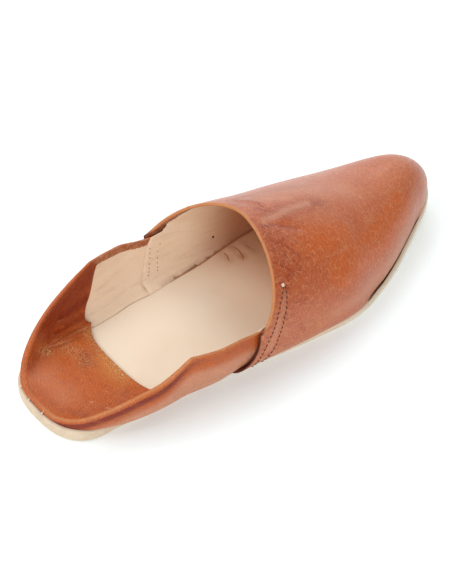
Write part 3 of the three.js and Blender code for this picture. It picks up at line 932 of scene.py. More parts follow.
def hole_finish():
    finish = Finish("deep_shadow", roughness=0.9)
    colour = finish.blend(finish.noise(finish.place(), 2.0, 2), SHADOW_DEEP, SHADOW_PALE)
    finish.fill(finish.shader.inputs, {"Base Color": colour})
    return finish.material


# Pieces

VAMP_CROWN_STEPS = 64
VAMP_SIDE_STEPS = 20
VAMP_ROWS = 190
VAMP_LEATHER = 1.05

# Soft troughs and ridges of the vamp, by their ends in millimetres from the heel.
VAMP_CREASES = [
    ((-14, 131, 61), (8, 141, 60), 2.6, -0.6),
    ((-6, 136, 61), (16, 150, 55), 4.5, 0.35),
    ((9, 130, 61), (22, 156, 52), 2.4, -0.6),
    ((20, 128, 58), (32, 142, 47), 1.2, -0.25),
    ((24, 126, 56), (36, 139, 43), 1.2, -0.25),
    ((22, 130, 55), (38, 146, 40), 3.5, -0.3),
]


# Painted strokes on the vamp: darker patches and the painted shade that lies in its wrinkles.
VAMP_DARK = [
    (0.9, 1.0, (-10, 136, 60), (-5, 139, 60), (0, 139, 61)),
    (0.9, 1.0, (-1, 135, 62), (3, 138, 61), (7, 142, 59)),
    (1.0, 1.1, (12, 129, 61), (12, 134, 60), (14, 139, 58), (18, 147, 55)),
    (0.8, 0.8, (20, 128, 58), (24, 134, 54), (30, 139, 49)),
    (0.8, 0.8, (24, 126, 56), (28, 131, 52), (34, 136, 46)),
    (0.8, 0.8, (29, 122, 54), (32, 127, 50), (36, 131, 45)),
    (0.55, 4, (7, 135, 61), (7, 145, 58), (6, 159, 55), (6, 172, 51)),
    (0.5, 5, (-14, 134, 60), (-14, 150, 57), (-12, 170, 52)),
    (0.4, 6, (14, 131, 60), (26, 128, 56), (36, 126, 47)),
    (0.45, 1.2, (46, 126, 23), (46, 129, 18)),
]
# A saturated band painted down the outer side where the leather catches no sheen, edged sharply against the
# painted floor reflection below it.
VAMP_NO_SHEEN = [
    (1.0, 10, (40, 160, 34), (36, 173, 33), (31, 189, 31), (26, 204, 30), (17, 221, 31)),
    (0.7, 12, (25, 150, 48), (24, 170, 43)),
]
# Painted sheen near the throat, over the crown and by the near seam, and the painted reflection of the white
# floor low along the outer side of the toe.
VAMP_SHEEN = [
    (0.9, 2.2, (9, 133, 61), (8, 141, 59), (6, 152, 57), (5, 164, 53)),
    (0.6, 3.5, (-12, 138, 59), (-4, 150, 57), (-2, 158, 56)),
    (0.45, 7, (-10, 147, 57), (-8, 164, 54), (-3, 180, 49), (1, 194, 44)),
    (0.45, 5, (24, 216, 13), (30, 205, 13), (36, 189, 14), (43, 168, 16), (46, 150, 16)),
    (0.5, 2.4, (41, 119.5, 41), (46, 111, 31), (47, 106, 18)),
]

RIM_LEATHER = 1.75
RIM_RUN = 4.5
RIM_EDGE = 1.3


def vamp(material):
    turns = vamp_turns(VAMP_CROWN_STEPS, VAMP_SIDE_STEPS)[::-1]
    rear = vamp_rear(turns)
    tip = UPPER_TIP - 1e-6
    along = np.sin(np.pi / 2 * (1 - np.arange(VAMP_ROWS + 1) / VAMP_ROWS))
    y = rear[:, None] + (tip - rear[:, None]) * along
    grain, _ = upper_grain(y, turns[:, None] + 0 * y)
    normal = grid_normals(grain)
    if normal[len(turns) // 2, -2, 2] < 0:
        raise ValueError("the vamp's grid faces inward")
    rim = y - rear[:, None]
    climb = np.abs(turns)[:, None]
    grain = grain + normal * relief(grain, VAMP_CREASES)[..., None]
    crown = 1 - ease(climb, CROWN_SHARE - 0.08, CROWN_SHARE)
    thickness = VAMP_LEATHER + (RIM_LEATHER - VAMP_LEATHER) * (1 - ease(rim, 0, RIM_RUN)) * crown
    points, faces, row, column, depth = leather_sheet(grain, thickness, arc=5)
    lengths = lengths_along(grain, 1)
    girths = lengths_along(grain, 0)
    made = make_object("vamp_leather", points, faces, material, {
        "along": lengths[row, column],
        "across": (girths - girths[len(turns) // 2])[row, column],
        "rim": rim[row, column] - RIM_EDGE * np.sin(np.pi * depth),
        "low": ease(np.abs(turns), CROWN_SHARE - 0.06, CROWN_SHARE)[row],
        "flesh": (depth > 0.5).astype(float),
        "dark": painted(grain, VAMP_DARK)[row, column],
        "pale": painted(grain, VAMP_SHEEN)[row, column],
        "no_sheen": painted(grain, VAMP_NO_SHEEN)[row, column],
    })
    return show(made, "root", "upper_leather", "upper_vamp")


# Painted strokes on the heel band: the far inner wall darkened, partly its burnished leather and partly
# painted shade; painted shade in the creases and painted highlights on their ridges; the bright worn patch;
# and scuffs.
BAND_DARK = [
    (0.85, 11, (-41, 63, 30), (-39, 52, 26), (-37.5, 43.6, 24), (-35.5, 31, 19)),
    (1.0, 5, (-38.5, 57, 17), (-37, 48, 17), (-36, 40, 17)),
    (0.8, 2.6, (-35.5, 54, 10), (-35, 42, 11), (-33.5, 30, 11)),
    (0.45, 5, (-27, 18, 8.6), (-22, 12, 8.6)),
    (0.5, 3.5, (-14, 39, 8.2), (-9, 37, 8.2)),
    (0.85, 0.9, (-33.5, 31, 11.5), (-33, 45, 9.6), (-32.5, 53, 8.6)),
    (0.6, 0.7, (-31.5, 27, 8.8), (-29, 38, 8.4), (-28, 49, 8.2)),
    (0.5, 0.6, (-29, 25, 8.8), (-26.5, 36, 8.4), (-25.5, 46, 8.2)),
    (0.5, 0.6, (-34.8, 34, 13), (-34.2, 47, 11.2), (-34.2, 54, 10)),
    (0.3, 3, (-10, 8, 8.8), (8, 8, 8.8), (20, 16, 8.8)),
]
# Painted highlights along the ridges of the far wall's creases, and pale spots and patches.
BAND_PALE = [
    (0.6, 0.5, (-31, 26, 9), (-30.3, 37, 8.7), (-30.3, 50, 8.3)),
    (0.6, 0.45, (-33.4, 30, 11.8), (-31.6, 40, 9.2), (-31.8, 51, 8.5)),
    (0.55, 0.4, (-34.6, 34, 13.6), (-33, 43, 10.6), (-33.2, 52, 9.4)),
    (0.5, 0.4, (-29.4, 24, 8.9), (-28.4, 33, 8.6), (-26.6, 41, 8.2)),
    (0.5, 0.5, (-35.4, 38, 15.4), (-35, 50, 12.6)),
    (0.35, 3, (-34, 25, 14), (-31, 18, 10)),
    (1.0, 0.35, (13.8, 23.2, 8.4), (15.0, 23.7, 8.4)),
    (0.9, 0.35, (13, 33, 8.3), (13.6, 33.2, 8.3)),
    (1.0, 0.5, (22.3, 27, 8.4), (23.4, 27.8, 8.4)),
    (1.0, 0.6, (-28.3, 22.6, 8.6), (-27.2, 23.4, 8.6)),
    (0.35, 8, (-12, 14, 8.6), (2, 16, 8.6)),
]
BAND_WORN = [
    (1.0, 6, (10, 45, 8.1), (3, 43, 8.1), (-5, 46, 8.1)),
    (0.5, 4, (-5, 46, 8.1), (-14, 49, 8.1)),
]
BAND_SPECKLED = [
    (1.0, 4.2, (-26, 51, 8.1), (-16, 50, 8.1), (-7, 48.5, 8.1), (8, 47, 8.1)),
    (0.45, 5, (-24, 35, 8.5), (-18, 38, 8.3), (-10, 37, 8.2)),
    (0.9, 2.6, (-29, 22, 8.6), (-27, 26, 8.6)),
]

STATIONS_PER_ROW = 18
OUTER_LEATHER = 0.7
FLAP_LEATHER = 1.25
STRIP_LEATHER = 0.5
STRIP_RAG = 0.14

# Soft troughs and ridges of the heel band, by their ends in millimetres from the heel.
BAND_CREASES = [
    ((-31.7, 24.8, 12), (-33, 52, 8.2), 1.5, -1.0),
    ((-29.0, 26.0, 9.0), (-30, 50, 8.2), 0.9, 0.5),
    ((-27.5, 27.0, 8.8), (-27.5, 46, 8.2), 0.8, -0.35),
    ((-34.0, 30.0, 13.5), (-34, 52, 10.5), 1.0, 0.6),
    ((-35.5, 34.0, 16.5), (-35, 53, 13), 0.9, -0.45),
    ((-36.0, 32.0, 18.5), (-36, 50, 15.5), 0.8, 0.3),
    ((-12, 36, 8.2), (-2, 34, 8.2), 1.5, -0.3),
    ((42.0, 63.5, 34), (41, 65, 10), 3.0, 0.5),
    ((42.0, 58.0, 30), (40, 59, 10), 3.5, -0.5),
]


def band_arcs():
    last = CORNER + (THROAT_CORNER + OVERLAP - LENGTH * TOP_LINE_ROWS[0]["y"]) / ROW_PACE
    return np.linspace(0, last, round(last * STATIONS_PER_ROW) + 1)


def heel_band(material):
    arcs = band_arcs()
    ragged = np.random.default_rng(5).normal(0, STRIP_RAG, (2, len(arcs)))
    left = [(arc, -1, ragged[0, k]) for k, arc in enumerate(arcs)]
    right = [(arc, 1, ragged[1, k]) for k, arc in enumerate(arcs)]
    stations = left[::-1] + right[1:]
    grain = np.array([band_profile(*station) for station in stations])
    arc = np.array([station[0] for station in stations])
    side = np.array([station[1] for station in stations])
    normal = grid_normals(grain)
    if normal[len(arcs) // 4, 5, 0] > 0:
        grain, arc, side = grain[::-1], arc[::-1], side[::-1]
        normal = grid_normals(grain)
    grain = grain + normal * relief(grain, BAND_CREASES)[..., None]
    column_share = ease(np.arange(grain.shape[1]), WALL_COUNT, WALL_COUNT + FOLD_COUNT)
    flap_leather = mix(FLAP_LEATHER, STRIP_LEATHER, ease(arc, CORNER - 0.6, CORNER + 0.4))
    thickness = mix(OUTER_LEATHER, flap_leather[:, None], column_share[None, :])
    points, faces, row, column, depth = leather_sheet(grain, thickness)
    crest = WALL_COUNT + FOLD_COUNT // 2
    across = lengths_along(grain, 1)
    inner = np.arange(grain.shape[1]) > crest
    made = make_object("heel_band_leather", points, faces, material, {
        "along": lengths_along(grain, 0)[row, column],
        "across": across[row, column],
        "below": np.abs(across - across[:, crest:crest + 1])[row, column],
        "flap": inner.astype(float)[column],
        "strip": (ease(arc, CORNER - 0.05, CORNER + 0.25)[:, None] * inner)[row, column],
        "near": ease(arc * side, -0.6, 1.2)[row],
        "front": ease(arc, CORNER - 0.8, CORNER + 0.6)[row],
        "dark": painted(grain, BAND_DARK)[row, column],
        "pale": painted(grain, BAND_PALE)[row, column],
        "worn": painted(grain, BAND_WORN)[row, column],
        "speckled": painted(grain, BAND_SPECKLED)[row, column],
    })
    return show(made, "root", "upper_leather", "upper_heel_band")


LINING_SHEET = 0.25
LINING_START = 4.55
LINING_DEPTH = OUTER_LEATHER + 0.34
LINING_TUCK = 1.2
SKIRT_GAP = 0.1
SKIRT_LIFT = 0.5
LINING_STATIONS = 90
LINING_COUNT = 60
LINING_WRINKLE = 0.5


def skirt(line, side):
    """The foot of a lining's edge, taken down to the insole's edge."""
    foot = line.copy()
    y = foot[..., 1]
    half = HALF_BALL * look_up(SOLE_ROWS, "at", "left" if side < 0 else "right", y / LENGTH)
    foot[..., 0] = side * np.minimum(np.abs(foot[..., 0]), half - insole_edge(y) + SKIRT_GAP)
    foot[..., 2] = sole_top(y) + GAP + SKIRT_LIFT
    return foot


def band_lining(material, side, name):
    """The pale lining of the band's inner wall, from behind the turned strip down to the insole's edge."""
    last = CORNER + (THROAT_CORNER + 4 - LENGTH * TOP_LINE_ROWS[0]["y"]) / ROW_PACE
    stations = [station_at(arc, side) for arc in np.linspace(LINING_START, last, LINING_STATIONS)]
    rise = LINING_TUCK - TURNED_STRIP
    grain = np.array([wall_line(s, s["low"], s["top"][2] + rise, 0, LINING_COUNT) for s in stations])
    inward = np.array([station["inward"] for station in stations])[:, None, :]
    normal = grid_normals(grain)
    normal = normal * np.sign((normal * inward).sum(-1, keepdims=True))
    sheet = grain + normal * LINING_DEPTH
    along, across = lengths_along(sheet, 0), lengths_along(sheet, 1)
    wrinkle = 0.5 + 0.3 * np.sin(across / 1.7 - along / 9 + 0.6 * np.sin(along / 7))
    wrinkle += 0.2 * np.sin(across - along / 13 + 2)
    fade = ease(across, 1, 7) * ease(across[:, -1:] - across, 1.5, 4) * ease(sheet[..., 1], 96, 84)
    sheet = sheet + inward * (LINING_WRINKLE * wrinkle * fade)[..., None]
    sheet = np.concatenate([skirt(sheet[:, :1], side), sheet], 1)
    along = np.concatenate([along[:, :1], along], 1)
    across = np.concatenate([across[:, :1] - 1, across], 1)
    made = closed_sheet(name, sheet, -inward * LINING_SHEET, material, along, across)
    show(made, "root", "insole_leather")


def closed_sheet(name, sheet, back, material, along, across, edge=None):
    """A thin closed sheet between a grid of points and the same grid moved back."""
    edge = np.full(along.shape, FAR_FROM_EDGE) if edge is None else edge
    loop = np.concatenate([sheet, (sheet + back)[:, ::-1]], 1)
    values = {
        key: np.concatenate([numbers, numbers[:, ::-1]], 1)
        for key, numbers in (("along", along), ("across", across), ("edge", edge))
    }
    return make_object(name, loop.reshape(-1, 3), loop_faces(*sheet.shape[:2]), material, values)


# The vamp lining's rear edge down each side: heights and places in millimetres from the heel.
LINING_EDGE_ROWS = named("z y", [
    (5.9, 90.6),
    (8.8, 92.6),
    (11.6, 94.2),
    (15.7, 95.9),
    (21.2, 97.7),
    (26.3, 99.3),
    (31, 102),
])
LINING_INSET = VAMP_LEATHER + 0.02 + LINING
OVER_BAND_INSET = UNDER_VAMP + LINING_DEPTH + 0.5
PAST_BAND = (THROAT_CORNER + OVERLAP + 3, 168)
VISIBLE_TURN = {"least": 1.1, "most": 5.2}
LINING_ROWS = 120
LINING_TIP = 3.0


def lining_inset(y, turn):
    """How far inside the vamp's outer face its lining lies: further where it covers the end of the band."""
    climb = np.abs(turn)
    beside = ease(climb, CROWN_SHARE - 0.1, CROWN_SHARE - 0.02) * (1 - ease(y, *PAST_BAND))
    return mix(LINING_INSET, OVER_BAND_INSET, beside)


def vamp_lining(material):
    turns = vamp_turns(90, 30)
    climb = np.abs(turns)
    corner = upper_point(THROAT_CORNER, turns, OVER_BAND_INSET)
    heights = np.clip(corner[:, 2], LINING_EDGE_ROWS[0]["z"], LINING_EDGE_ROWS[-1]["z"])
    down = look_up(LINING_EDGE_ROWS, "z", "y", heights)
    turned = ease(climb, 0.2, 0.4) * (1 - ease(climb, 0.56, 0.61))
    wander = np.random.default_rng(11).normal(0, 0.5, len(turns)) * turned
    throat = vamp_rear(turns) + mix(VISIBLE_TURN["least"], VISIBLE_TURN["most"], turned) + wander
    rear = mix(throat, down, ease(climb, CROWN_SHARE - 0.05, CROWN_SHARE + 0.02))
    along = np.sin(np.pi / 2 * (1 - np.arange(LINING_ROWS + 1) / LINING_ROWS))
    y = rear[:, None] + (UPPER_TIP - LINING_TIP - rear[:, None]) * along
    inset = lining_inset(y, turns[:, None])[..., None]
    grain, inward = upper_grain(y, turns[:, None] + 0 * y)
    sheet = grain + inward * inset
    behind = grain + inward * (inset - LINING * 0.8)
    sheet, behind = (np.concatenate([skirt(s[:1], -1), s, skirt(s[-1:], 1)]) for s in (sheet, behind))
    lengths, girths = lengths_along(sheet, 1), lengths_along(sheet, 0)
    made = closed_sheet("vamp_lining", sheet, behind - sheet, material, lengths, girths, lengths)
    return show(made, "root", "insole_leather")


INSOLE_BEVEL = 0.45
INSOLE_GAP = 0.25
EDGE_ROUND = 0.15
LIP_MARGIN = 0.2
LIP_DRAFT = 0.1
INSOLE_TOE = {"in": 4, "run": 26}
INSOLE_WRINKLES = [
    ((-37, 148, 6), (-21, 146, 6), 1.5, -0.8),
    ((-36, 151.5, 6), (-22, 151, 6), 1.4, 0.6),
    ((-37, 142, 6), (-24, 139, 6), 1.6, -0.5),
    ((-37, 145, 6), (-24, 142, 6), 1.4, 0.45),
]
# Painted shade in the insole's creases: strength, width, then the places along the path.
INSOLE_CREASE_SHADE = [
    (0.75, 1.1, (-36, 148.5, 6), (-30, 149, 6), (-26, 148, 6), (-22.5, 146, 6)),
    (0.4, 1.6, (-36, 141.5, 6), (-29, 141, 6), (-25, 138.5, 6)),
    (0.3, 1.6, (-35, 154, 6), (-28, 155.5, 6), (-24, 154, 6)),
]


def lip_inner(y):
    return ledge(y) + WALL + LIP_MARGIN


def insole_edge(y):
    """The insole's edge, laid close to the foot of whatever lines the wall beside it."""
    seam = THROAT_CORNER - SEAM_CLEARANCE
    beside = LINING_DEPTH + (OVER_BAND_INSET - LINING_DEPTH) * ease(y, seam - TUCK_RUN, seam)
    beside = beside - (OVER_BAND_INSET - LINING_INSET) * ease(y, *PAST_BAND)
    toe = INSOLE_TOE["in"] * ease(y, LENGTH - INSOLE_TOE["run"], LENGTH)
    return ledge(y) + beside + INSOLE_GAP + toe


def filled_slab(name, levels, material, crossings, detail=None, strokes=()):
    """A slab of stacked outline rings, each an inset and a height as functions of y, with a gridded top."""
    rings = [np.column_stack([ring, height(ring[:, 1])])
             for ring, height in ((outline(inset), height) for inset, height in levels)]
    size = len(rings[0])
    half = size // 2
    faces = ring_faces(len(rings), size)
    count = len(rings) * size
    faces += [(k, k + 1, (size - k - 1) % size, (size - k) % size) for k in range(half)]
    start = count - size
    ring = rings[-1]
    left = np.arange(1, half)
    right = size - left
    shares = np.arange(1, crossings) / crossings
    inner = ring[left][:, None] + (ring[right] - ring[left])[:, None] * shares[None, :, None]
    inner[..., 2] = levels[-1][1](inner[..., 1])
    if detail is not None:
        inner[..., 2] += detail(inner)
    table = np.empty((len(left), crossings + 1), int)
    table[:, 0] = start + left
    table[:, -1] = start + right
    table[:, 1:-1] = count + np.arange(len(left) * (crossings - 1)).reshape(len(left), -1)
    for i in range(len(left) - 1):
        for j in range(crossings):
            faces.append((table[i, j], table[i, j + 1], table[i + 1, j + 1], table[i + 1, j]))
    for i, pole in ((0, start), (len(left) - 1, start + half)):
        faces += [(pole, table[i, j], table[i, j + 1]) for j in range(crossings)]
    faces = [tuple(int(k) for k in face) for face in faces]
    points = np.concatenate([*rings, inner.reshape(-1, 3)])
    return make_object(name, points, faces, material, {"dark": painted(points, strokes)})


def insole_top(y):
    return sole_top(y) + GAP + INSOLE_THICKNESS


def insole(material):
    made = filled_slab("insole_sheet", [
        (insole_edge, lambda y: sole_top(y) + GAP),
        (insole_edge, lambda y: insole_top(y) - INSOLE_BEVEL),
        (lambda y: insole_edge(y) + EDGE_ROUND, lambda y: insole_top(y) - EDGE_ROUND),
        (lambda y: insole_edge(y) + INSOLE_BEVEL, insole_top),
    ], material, 64, lambda inner: relief(inner, INSOLE_WRINKLES), INSOLE_CREASE_SHADE)
    return show(made, "root", "insole_leather", "insole")


# The sole's edge: each step's inset, and its height above the underside or below the lip's top.
SOLE_UNDER = [(2.2, 0), (1.3, 0.12), (0.7, 0.45), (0.25, 1.0), (0, 1.7)]
SOLE_UPPER = [(0, 1.3), (0.12, 0.7), (0.35, 0.3), (0.75, 0.0)]

SOLE_DARK = [
    (0.6, 9, (-34, 24, 4), (-20, 7, 4), (0, 1, 4), (20, 6, 4), (31, 20, 4)),
    (1.0, 3.5, (2, 0.5, 4), (10, 2, 4), (18, 6, 4)),
    (0.4, 3, (28, 20, 5), (30, 34, 5)),
]


def sole(material):
    levels = [(lambda y, i=i: i, lambda y, h=h: underside(y) + h) for i, h in SOLE_UNDER]
    levels += [(lambda y, i=i: i, lambda y, h=h: lip_top(y) - h) for i, h in SOLE_UPPER]
    levels += [
        (lip_inner, lip_top),
        (lambda y: lip_inner(y) + LIP_DRAFT, sole_top),
    ]
    made = filled_slab("sole_leather_edge", levels, material, 12, None, SOLE_DARK)
    return show(made, "root", "sole_leather", "outsole")


# Stitching

STITCH_PITCH = 2.4
STITCH_LENGTH = 1.7
STITCH_RADIUS = 0.27
STITCH_RISE = 0.363
STITCH_SUNK = 0.216
STITCH_MARKS = 10
SEAM_CENTRE = np.array([0, 0, 14])
KNOT = {"y": 121.6, "z": 45.2, "radius": 0.42}

# The two lens-shaped rows that join vamp and band: their y at each height.
STITCH_ROWS = named("z rear front", [
    (8, 98.2, 103.9),
    (13.5, 100.4, 107.4),
    (19, 102.7, 110.4),
    (25, 105.7, 112.4),
    (31.4, 109.2, 115.2),
    (35.2, 111.9, 117.9),
    (39.5, 116.0, 120.5),
    (43, 119.6, 122.0),
    (45, 121.6, 122.3),
])


def on_upper(y, z, side):
    return upper_point(y, turn_at(y, z, side), 0)


def tube(path, radii, sides=8):
    """Points and faces of a closed tube along a path, with a radius at each point."""
    path = np.asarray(path, float)
    along = np.gradient(path, axis=0)
    along /= np.linalg.norm(along, axis=1, keepdims=True)
    aside = np.cross(along, [0.3, 0.2, 0.93])
    aside /= np.linalg.norm(aside, axis=1, keepdims=True)
    up = np.cross(aside, along)
    angles = 2 * np.pi * np.arange(sides) / sides
    rings = path[:, None] + radii[:, None, None] * (
        np.cos(angles)[None, :, None] * aside[:, None] + np.sin(angles)[None, :, None] * up[:, None])
    faces = ring_faces(len(path), sides)
    faces.append(tuple(range(sides)))
    faces.append(tuple((len(path) - 1) * sides + k for k in range(sides)))
    return rings.reshape(-1, 3), faces


def tapered(path, radius, power):
    """A tube that thins out towards both ends of its path."""
    t = np.linspace(0, 1, len(path))
    return tube(path, radius * np.clip(np.sin(np.pi * t), 0.02, 1) ** power)


def joined(name, parts, material):
    """One object from several lists of points and faces."""
    points, faces, start = [], [], 0
    for part_points, part_faces in parts:
        points.append(part_points)
        faces += [tuple(k + start for k in face) for face in part_faces]
        start += len(part_points)
    return make_object(name, np.concatenate(points), faces, material)


def out_from_seam(place):
    """The way out of the shoe at a place of the side seam."""
    out = place * [1, 0, 1] - SEAM_CENTRE
    return out / np.linalg.norm(out)


def stitch(line, surface_out):
    """One stitch: a short thread that rises from the leather and goes back into it."""
    t = np.linspace(0, 1, 9)
    path = mix(line[0], line[1], t[:, None])
    rise = np.sin(np.pi * t) ** 0.5 * STITCH_RISE - STITCH_SUNK
    path = path + surface_out * rise[:, None]
    radii = STITCH_RADIUS * np.sin(np.pi * np.clip(t, 0.08, 0.92)) ** 0.35
    return tube(path, radii)


def seam_stitches(material, side, name):
    parts = []
    for column in ("rear", "front"):
        heights = np.linspace(STITCH_ROWS[0]["z"], STITCH_ROWS[-1]["z"], 120)
        line = np.array([on_upper(float(look_up(STITCH_ROWS, "z", column, z)), z, side) for z in heights])
        total = np.linalg.norm(np.diff(line, axis=0), axis=1).sum()
        count = int(total / STITCH_PITCH)
        marks = resampled(line, count * STITCH_MARKS + 1)
        used = round(STITCH_MARKS * STITCH_LENGTH / STITCH_PITCH)
        for first in range(1, count * STITCH_MARKS, STITCH_MARKS):
            ends = marks[[first, first + used]]
            parts.append(stitch(ends, out_from_seam(ends.mean(0))))
    return show(joined(name, parts, material), "root", "upper_leather")


def knot(material, side, name):
    """The pale knot that ends the two rows of stitches."""
    middle = on_upper(KNOT["y"], KNOT["z"], side)
    start = middle + [0, -0.6, 0.9]
    t = np.linspace(0, 1, 10)[:, None]
    path = mix(start, start + [0, 0.4, -2.2], t) + out_from_seam(middle) * (0.15 + 0.35 * np.sin(np.pi * t))
    parts = [tube(path + [0, shift, 0], np.full(len(path), KNOT["radius"])) for shift in (-0.35, 0.35)]
    return show(joined(name, parts, material), "root", "upper_leather")


# Pinholes of the same seam, seen on the lining: their y and height.
PINHOLES = [
    (100.9, 24.1), (100.6, 21), (100.2, 18), (99.2, 14.4), (98.3, 12), (97.5, 9.8), (96.4, 8.1),
    (107.4, 24.2), (105.6, 19.8), (104.8, 15.8), (103.9, 12.8), (103.1, 10), (102.4, 8.1),
]
PINHOLE_RADIUS = 0.3
PIT_DEPTHS = (-0.25, 0.05, 0.08)
PIT_SHARES = (1, 1, 0.6)
VENT = {"y": 140, "z": 13.6, "radius": 0.75}


def pit(y, z, side, radius):
    """A small disc of painted shadow that lies on the vamp's lining, standing in for the dark inside a hole
    in it.
    """
    turn = turn_at(y, z, side)
    grain, inward = upper_grain(np.float64(y), turn)
    middle = grain + inward * lining_inset(y, turn)
    path = np.array([middle + inward * depth for depth in PIT_DEPTHS])
    return tube(path, np.array(PIT_SHARES) * radius)


def pinholes(material, side, name):
    parts = [pit(y, z, side, PINHOLE_RADIUS) for y, z in PINHOLES]
    if side < 0:
        parts.append(pit(VENT["y"], VENT["z"], side, VENT["radius"]))
    return show(joined(name, parts, material), "root", "insole_leather")


# Dark tubes that paint the shade in the open seams: under the vamp along the outer side of the toe, and
# under the band round the heel.
TOE_SEAM = {"start": 178, "end": 243, "out": 0.6, "lift": 0.2, "radius": 0.5}
HEEL_SEAM = {"left": 40, "right": 14, "inset": 0.15, "lift": 0.25, "radius": 0.3}

# The shade between the insole and the lining under the vamp, and in the insole's sharpest creases.
INNER_SEAM = {"start": 104, "end": 186, "lift": 0.1, "radius": 0.42}
INSOLE_CREASES = [
    [(-36, 149), (-31, 149.4), (-27, 148.4), (-22.5, 146)],
    [(-35, 142), (-31, 141.6), (-27.5, 140)],
    [(-34, 154), (-29, 155), (-26, 154)],
]
CREASE_RADIUS = 0.36


def inner_seam_shade(material):
    y = np.linspace(INNER_SEAM["start"], INNER_SEAM["end"], 80)
    half = HALF_BALL * look_up(SOLE_ROWS, "at", "left", y / LENGTH)
    seam = np.column_stack([insole_edge(y) - half, y, insole_top(y) + INNER_SEAM["lift"]])
    paths = [(seam, INNER_SEAM["radius"])]
    for crease in INSOLE_CREASES:
        plan = resampled(crease, 24)
        paths.append((np.column_stack([plan, insole_top(plan[:, 1]) - CREASE_RADIUS / 2]), CREASE_RADIUS))
    parts = [tapered(path, radius, 0.5) for path, radius in paths]
    return show(joined("inner_seam_shade", parts, material), "root", "insole_leather")


def seam_shadows(material):
    y = np.linspace(TOE_SEAM["start"], TOE_SEAM["end"], 90)
    toe, inward = upper_grain(y, np.ones(len(y)))
    flat = inward * [1, 1, 0]
    toe -= flat / np.linalg.norm(flat, axis=1, keepdims=True) * TOE_SEAM["out"]
    toe[:, 2] = lip_top(y) + TOE_SEAM["lift"]
    ring = outline(lambda y: ledge(y) + HEEL_SEAM["inset"], 300)
    half = len(ring) // 2
    left = ring[:half][ring[:half, 1] < HEEL_SEAM["left"]][::-1]
    right = ring[half:][ring[half:, 1] < HEEL_SEAM["right"]][::-1]
    plan = np.concatenate([left, right])
    heel = resampled(np.column_stack([plan, lip_top(plan[:, 1]) + HEEL_SEAM["lift"]]), 120)
    parts = [tapered(toe, TOE_SEAM["radius"], 0.35), tapered(heel, HEEL_SEAM["radius"], 0.35)]
    return show(joined("seam_shadows", parts, material), "root", "sole_leather")


# Threads that bridge the seam between band and sole round the heel: their x and their length.
HEEL_TUFTS = [(-15.5, 1.2), (-5.5, 0.9), (5.0, 1.1)]
TUFT_FOOT = 6.9
TUFT_REACH = 40
TUFT_RADIUS = 0.17


def heel_threads(material):
    parts = []
    ring = outline(lambda y: ledge(y) * 0.7, 200)
    back = ring[ring[:, 1] < TUFT_REACH]
    for x, length in HEEL_TUFTS:
        base = back[np.argmin(np.abs(back[:, 0] - x))]
        foot = np.array([base[0], base[1], TUFT_FOOT])
        for k in range(3):
            lean = (k - 1) * 0.5
            top = (0, 0.9, 1.6 + 0.4 * length)
            steps = [(lean, -0.2, 0), (lean * 0.6, -0.5, 0.7), (0.2 * lean, 0.1, 1.3), top]
            parts.append(tube(resampled(foot + steps, 8), np.full(8, TUFT_RADIUS), 6))
    return show(joined("heel_threads", parts, material), "root", "sole_leather")


# Camera, light and floor

CAMERA_PLACE = (0.4393, -0.3625, 0.5235)
CAMERA_FORWARD = (-0.5819, 0.4588, -0.6715)
CAMERA_UP = (-0.5274, 0.4156, 0.7410)
CAMERA_LENS = 91.91
SENSOR = 36


def photo_camera():
    """The photograph's view: from behind, above and to the right of the shoe."""
    forward = Vector(CAMERA_FORWARD).normalized()
    right = forward.cross(Vector(CAMERA_UP)).normalized()
    up = right.cross(forward)
    camera = bpy.data.objects.new("photo_camera", bpy.data.cameras.new("photo_camera"))
    turn = Matrix((right, up, -forward)).transposed().to_4x4()
    camera.matrix_world = Matrix.Translation(CAMERA_PLACE) @ turn
    camera.data.sensor_width = SENSOR
    camera.data.lens = CAMERA_LENS
    camera.data.clip_start = 0.01
    bpy.context.scene.collection.objects.link(camera)
    bpy.context.scene.camera = camera


# The soft boxes above the shoe: their names, places, sizes and powers, and the place they all face.
SOFT_LIGHTS = [
    ("box_behind_left", (-0.6, -1.1, 1.3), (1.3, 1.3), 12),
    ("box_behind_right", (1.3, -0.7, 0.65), (1.3, 0.9), 8.5),
    ("box_over_left", (-0.8, 0.6, 1.1), (1.0, 1.2), 6),
]
LIGHT_TARGET = Vector((0, 0, 0.02))


def soft_light(name, place, size, power):
    data = bpy.data.lights.new(name, "AREA")
    data.shape = "RECTANGLE"
    data.size, data.size_y = size
    data.energy = power
    light = bpy.data.objects.new(name, data)
    light.location = place
    light.rotation_euler = (LIGHT_TARGET - Vector(place)).to_track_quat("-Z", "Y").to_euler()
    bpy.context.scene.collection.objects.link(light)


FLOOR_COLOUR = (0.87, 0.95, 0.955, 1)
FLOOR_GLOW = 0.18
FLOOR_SIZE = 6

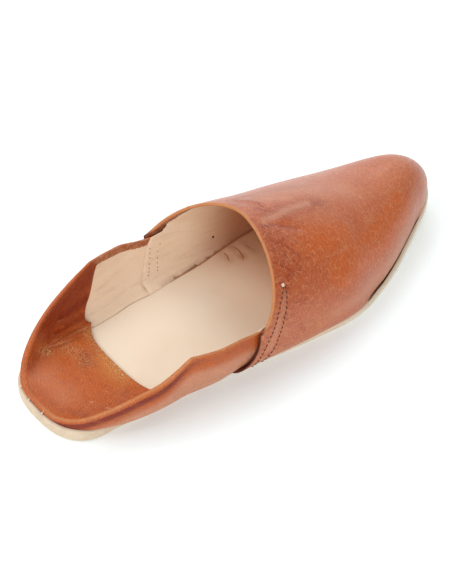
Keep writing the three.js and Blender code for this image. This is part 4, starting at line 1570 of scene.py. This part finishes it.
# The room's white light, the ways in which it is brighter or darker, and how those zones begin and end.
ROOM_LIGHT = 0.62
ZONE_EDGES = (0.55, 0.95)
ROOM_ZONES = [
    ((-0.6, 0.78, 0.2), 0.6),
    ((0.42, 0.9, 0.12), -0.55),
]


def studio():
    """A pale floor under even white light from all round, with soft boxes above."""
    floor_finish = Finish("studio_floor", roughness=0.9, specular_ior_level=0.1)
    looks = {"Base Color": FLOOR_COLOUR, "Emission Color": (1, 1, 1, 1), "Emission Strength": FLOOR_GLOW}
    floor_finish.fill(floor_finish.shader.inputs, looks)
    bpy.ops.mesh.primitive_plane_add(size=FLOOR_SIZE)
    floor = bpy.context.object
    floor.name = "studio_floor"
    floor.data.materials.append(floor_finish.material)
    world = bpy.data.worlds.new("studio")
    room = Tree(world)
    direction = room.number("ShaderNodeTexCoord", "Generated")
    brightness = ROOM_LIGHT
    low, high = ZONE_EDGES
    for towards, added in ROOM_ZONES:
        facing = room.vector_math("DOT_PRODUCT", {0: direction, 1: Vector(towards).normalized()}, "Value")
        zone = room.ramp({"Value": facing, "From Min": low, "From Max": high, "To Min": 0, "To Max": added})
        brightness = zone + brightness
    room.fill(room.nodes["Background"].inputs, {"Strength": 1, "Color": brightness})
    bpy.context.scene.world = world
    for light in SOFT_LIGHTS:
        soft_light(*light)
    bpy.context.scene.view_settings.view_transform = "Standard"


photo_camera()
studio()
vamp(vamp_finish())
heel_band(band_finish())
lining = lining_finish()
band_lining(lining, -1, "left_lining")
band_lining(lining, 1, "right_lining")
vamp_lining(lining)
insole(insole_finish())
sole(sole_finish())
dark_thread = thread_finish("dark_thread", THREAD_DARK)
pale_thread = thread_finish("pale_thread", THREAD_PALE)
hole = hole_finish()
for side, word in ((-1, "left"), (1, "right")):
    seam_stitches(dark_thread, side, word + "_seam_stitches")
    knot(pale_thread, side, word + "_knot")
    pinholes(hole, side, word + "_pinholes")
seam_shadows(hole)
inner_seam_shade(thread_finish("crease_shadow", CREASE_BROWN))
heel_threads(pale_thread)
